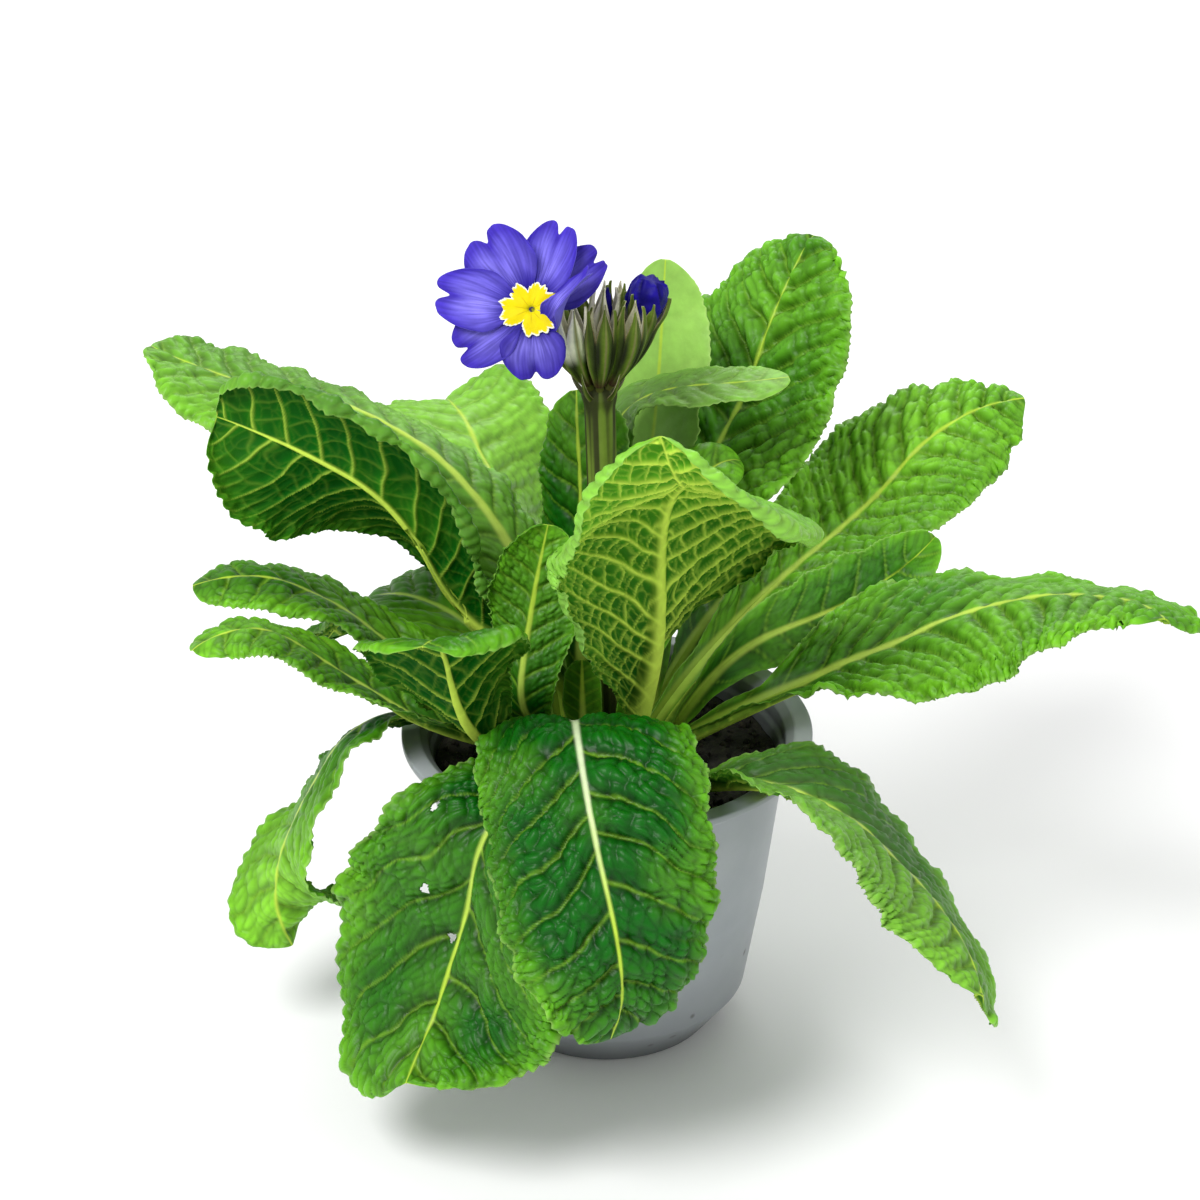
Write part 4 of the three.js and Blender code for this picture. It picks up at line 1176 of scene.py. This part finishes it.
def petal_tint(petal, s, v, veins, broad):
    """A petal's front: pale in the middle, deeper at the root and margin, with fine streaks."""
    streak = np.clip(0.5 + 0.7 * veins, 0, 1)
    pale = np.sin(np.pi * np.clip(s * 1.1, 0, 1)) * (1 - 0.7 * v**2) * (0.8 + 0.4 * broad)
    tint = blend(PETAL_EDGE, PETAL_MIDDLE, np.clip(pale * (0.7 + 0.4 * streak), 0, 1))
    deep = 0.9 * (1 - smoothstep(0.1, 0.45, s + 0.05 * veins))
    deep = np.maximum(deep, 0.35 * smoothstep(0.7, 1, np.abs(v)))
    tint = blend(tint, PETAL_DEEP, deep)
    # Painted shade: the petal's shade darkens all of it.
    return tint * petal["shade"] * (0.72 + 0.33 * streak)[..., None]


def make_petals():
    shape = Shape()
    s = np.linspace(0, 1, 52)[:, None]
    v = np.linspace(-1, 1, 49)
    back = blend(PETAL_EDGE, PETAL_BACK, 0.6)
    for order, own in enumerate(PETALS):
        petal = {**USUAL_PETAL, **own}
        veins = value_noise(v * 34 + 3 * s, s * 2.2, 80 + order)
        broad = value_noise(v * 3 + 9, s * 3, 70 + order)
        points = petal_points(petal, s, v, veins, broad, order)
        shape.skin(points, 0.24, petal_tint(petal, s, v, veins, broad), back)
    petals = shape.piece("petals", PETAL)
    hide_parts("flower_face")


def make_eye():
    """The yellow star in the middle: one notched wedge for each petal, with a ragged pale edge."""
    right, up = flower_axes()
    angle = np.linspace(0, 2 * np.pi, 281)
    headings = np.radians([petal["root"] for petal in PETALS])
    off = np.abs((angle - headings[:, None] + np.pi) % (2 * np.pi) - np.pi).min(0)
    along = off / (np.pi / len(PETALS))
    ragged = 0.04 * value_noise(angle * 14, 0, 91) + 0.03 * value_noise(angle * 40, 0, 92)
    outline = EYE_REACH * (1 - 0.34 * along**2.0 - 0.12 * bell(along, 0.16) + ragged)
    s = np.linspace(0, 1, 24)[:, None]
    radius = EYE_HOLE + (outline - EYE_HOLE) * s
    height = 0.75 - 1.2 * np.exp((EYE_HOLE - radius) / 0.6)
    height += 0.3 * np.cos(len(PETALS) * (angle - headings[0])) * s
    out = towards(angle, 1.08 * right, 0.86 * up)
    points = FLOWER_CENTRE + radius[..., None] * out + height[..., None] * FLOWER_FACING
    edge = (1 - s) * outline
    tint = blend(EYE_YELLOW, EYE_WHITE, 1 - smoothstep(0.35, 0.75, edge + 5 * ragged))
    lines = bell(along, 0.1) * (1 - smoothstep(0.2, 0.62, s))
    tint = blend(tint, EYE_ORANGE, 0.6 * lines)
    tint = blend(tint, EYE_THROAT, 1 - smoothstep(0, 0.12, s))
    shape = Shape()
    shape.sheet(points, points - 0.25 * FLOWER_FACING, tint, tint)
    eye = shape.piece("yellow_eye", PETAL)
    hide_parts("flower_eye")


def make_stigma():
    shape = Shape()
    shape.tube(FLOWER_CENTRE - 2.1 * FLOWER_FACING + 0.55 * ball(9, 16), STIGMA_GREEN)
    stigma = shape.piece("stigma", STALK)
    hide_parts("flower_stigma")


def make_tube():
    """From inside the first calyx, bending forwards into the back of the flower."""
    calyx = stalk_path(1, umbel_directions()[0])
    behind = FLOWER_CENTRE - 7 * FLOWER_FACING
    throat = FLOWER_CENTRE - 2.6 * FLOWER_FACING
    t = np.linspace(0, 1, 40)
    path = smoothly([calyx[11], calyx[-1], behind, throat], t)
    rings = path_rings(path, smoothly([1.0, 1.3, 1.5, 2.0], t), 28)
    shape = Shape()
    shape.tube(rings, blend(TUBE_GREEN, TUBE_VIOLET, smoothstep(0.75, 1, t[:, None])))
    tube = shape.piece("corolla_tube", PETAL)
    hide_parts("flower_tube")


# ---- floor, light and camera ----
LIT_POINT = np.array([0, 0, 0.1])
CAMERA_PLACE = [-0.00179, -0.82768, 0.55043]
CAMERA_TILT = 62.5  # from looking straight down, in degrees
FOCAL_LENGTH = 111.6
SENSOR_WIDTH = 36


def make_floor():
    bpy.ops.mesh.primitive_plane_add(size=12, location=(0, 0, -0.0005))
    floor = bpy.context.object
    floor.name = "floor"
    material, _, shader = new_material("floor", 0.8)
    shader.inputs["Base Color"].default_value = [0.96, 0.96, 0.96, 1]
    floor.data.materials.append(material)


def make_light(name, place, size, watts):
    """A round lamp that shines on the plant's middle."""
    lamp = bpy.data.lights.new(name, "AREA")
    lamp.shape = "DISK"
    lamp.size = size
    lamp.energy = watts
    light = bpy.data.objects.new(name, lamp)
    light.location = place
    aim = LIT_POINT - np.array(place)
    heading = math.atan2(aim[1], aim[0])
    tilt = math.acos(-aim[2] / np.linalg.norm(aim))
    light.rotation_euler = (tilt, 0, heading - math.pi / 2)
    bpy.context.scene.collection.objects.link(light)


def make_studio():
    make_floor()
    make_light("key", (-0.7, -0.8, 1.4), size=0.8, watts=22)
    make_light("fill", (1.1, -0.7, 0.9), size=1.2, watts=5)
    make_light("rim", (0.2, 1.2, 1.2), size=1.0, watts=9)
    world = bpy.data.worlds.new("studio")
    world.use_nodes = True
    white = world.node_tree.nodes["Background"]
    feed(world.node_tree, white, {"Color": [1, 1, 1, 1], "Strength": 0.55})
    bpy.context.scene.world = world
    bpy.context.scene.view_settings.view_transform = "Standard"


def make_camera():
    lens = bpy.data.cameras.new("camera")
    lens.sensor_width = SENSOR_WIDTH
    lens.lens = FOCAL_LENGTH
    camera = bpy.data.objects.new("camera", lens)
    camera.location = CAMERA_PLACE
    camera.rotation_euler = (math.radians(CAMERA_TILT), 0, 0)
    bpy.context.scene.collection.objects.link(camera)
    bpy.context.scene.camera = camera


make_pot()
make_soil()
make_crown()
make_scape()
make_umbel()
make_petals()
make_eye()
make_stigma()
make_tube()
make_studio()
make_camera()

bpy.context.view_layer.update()
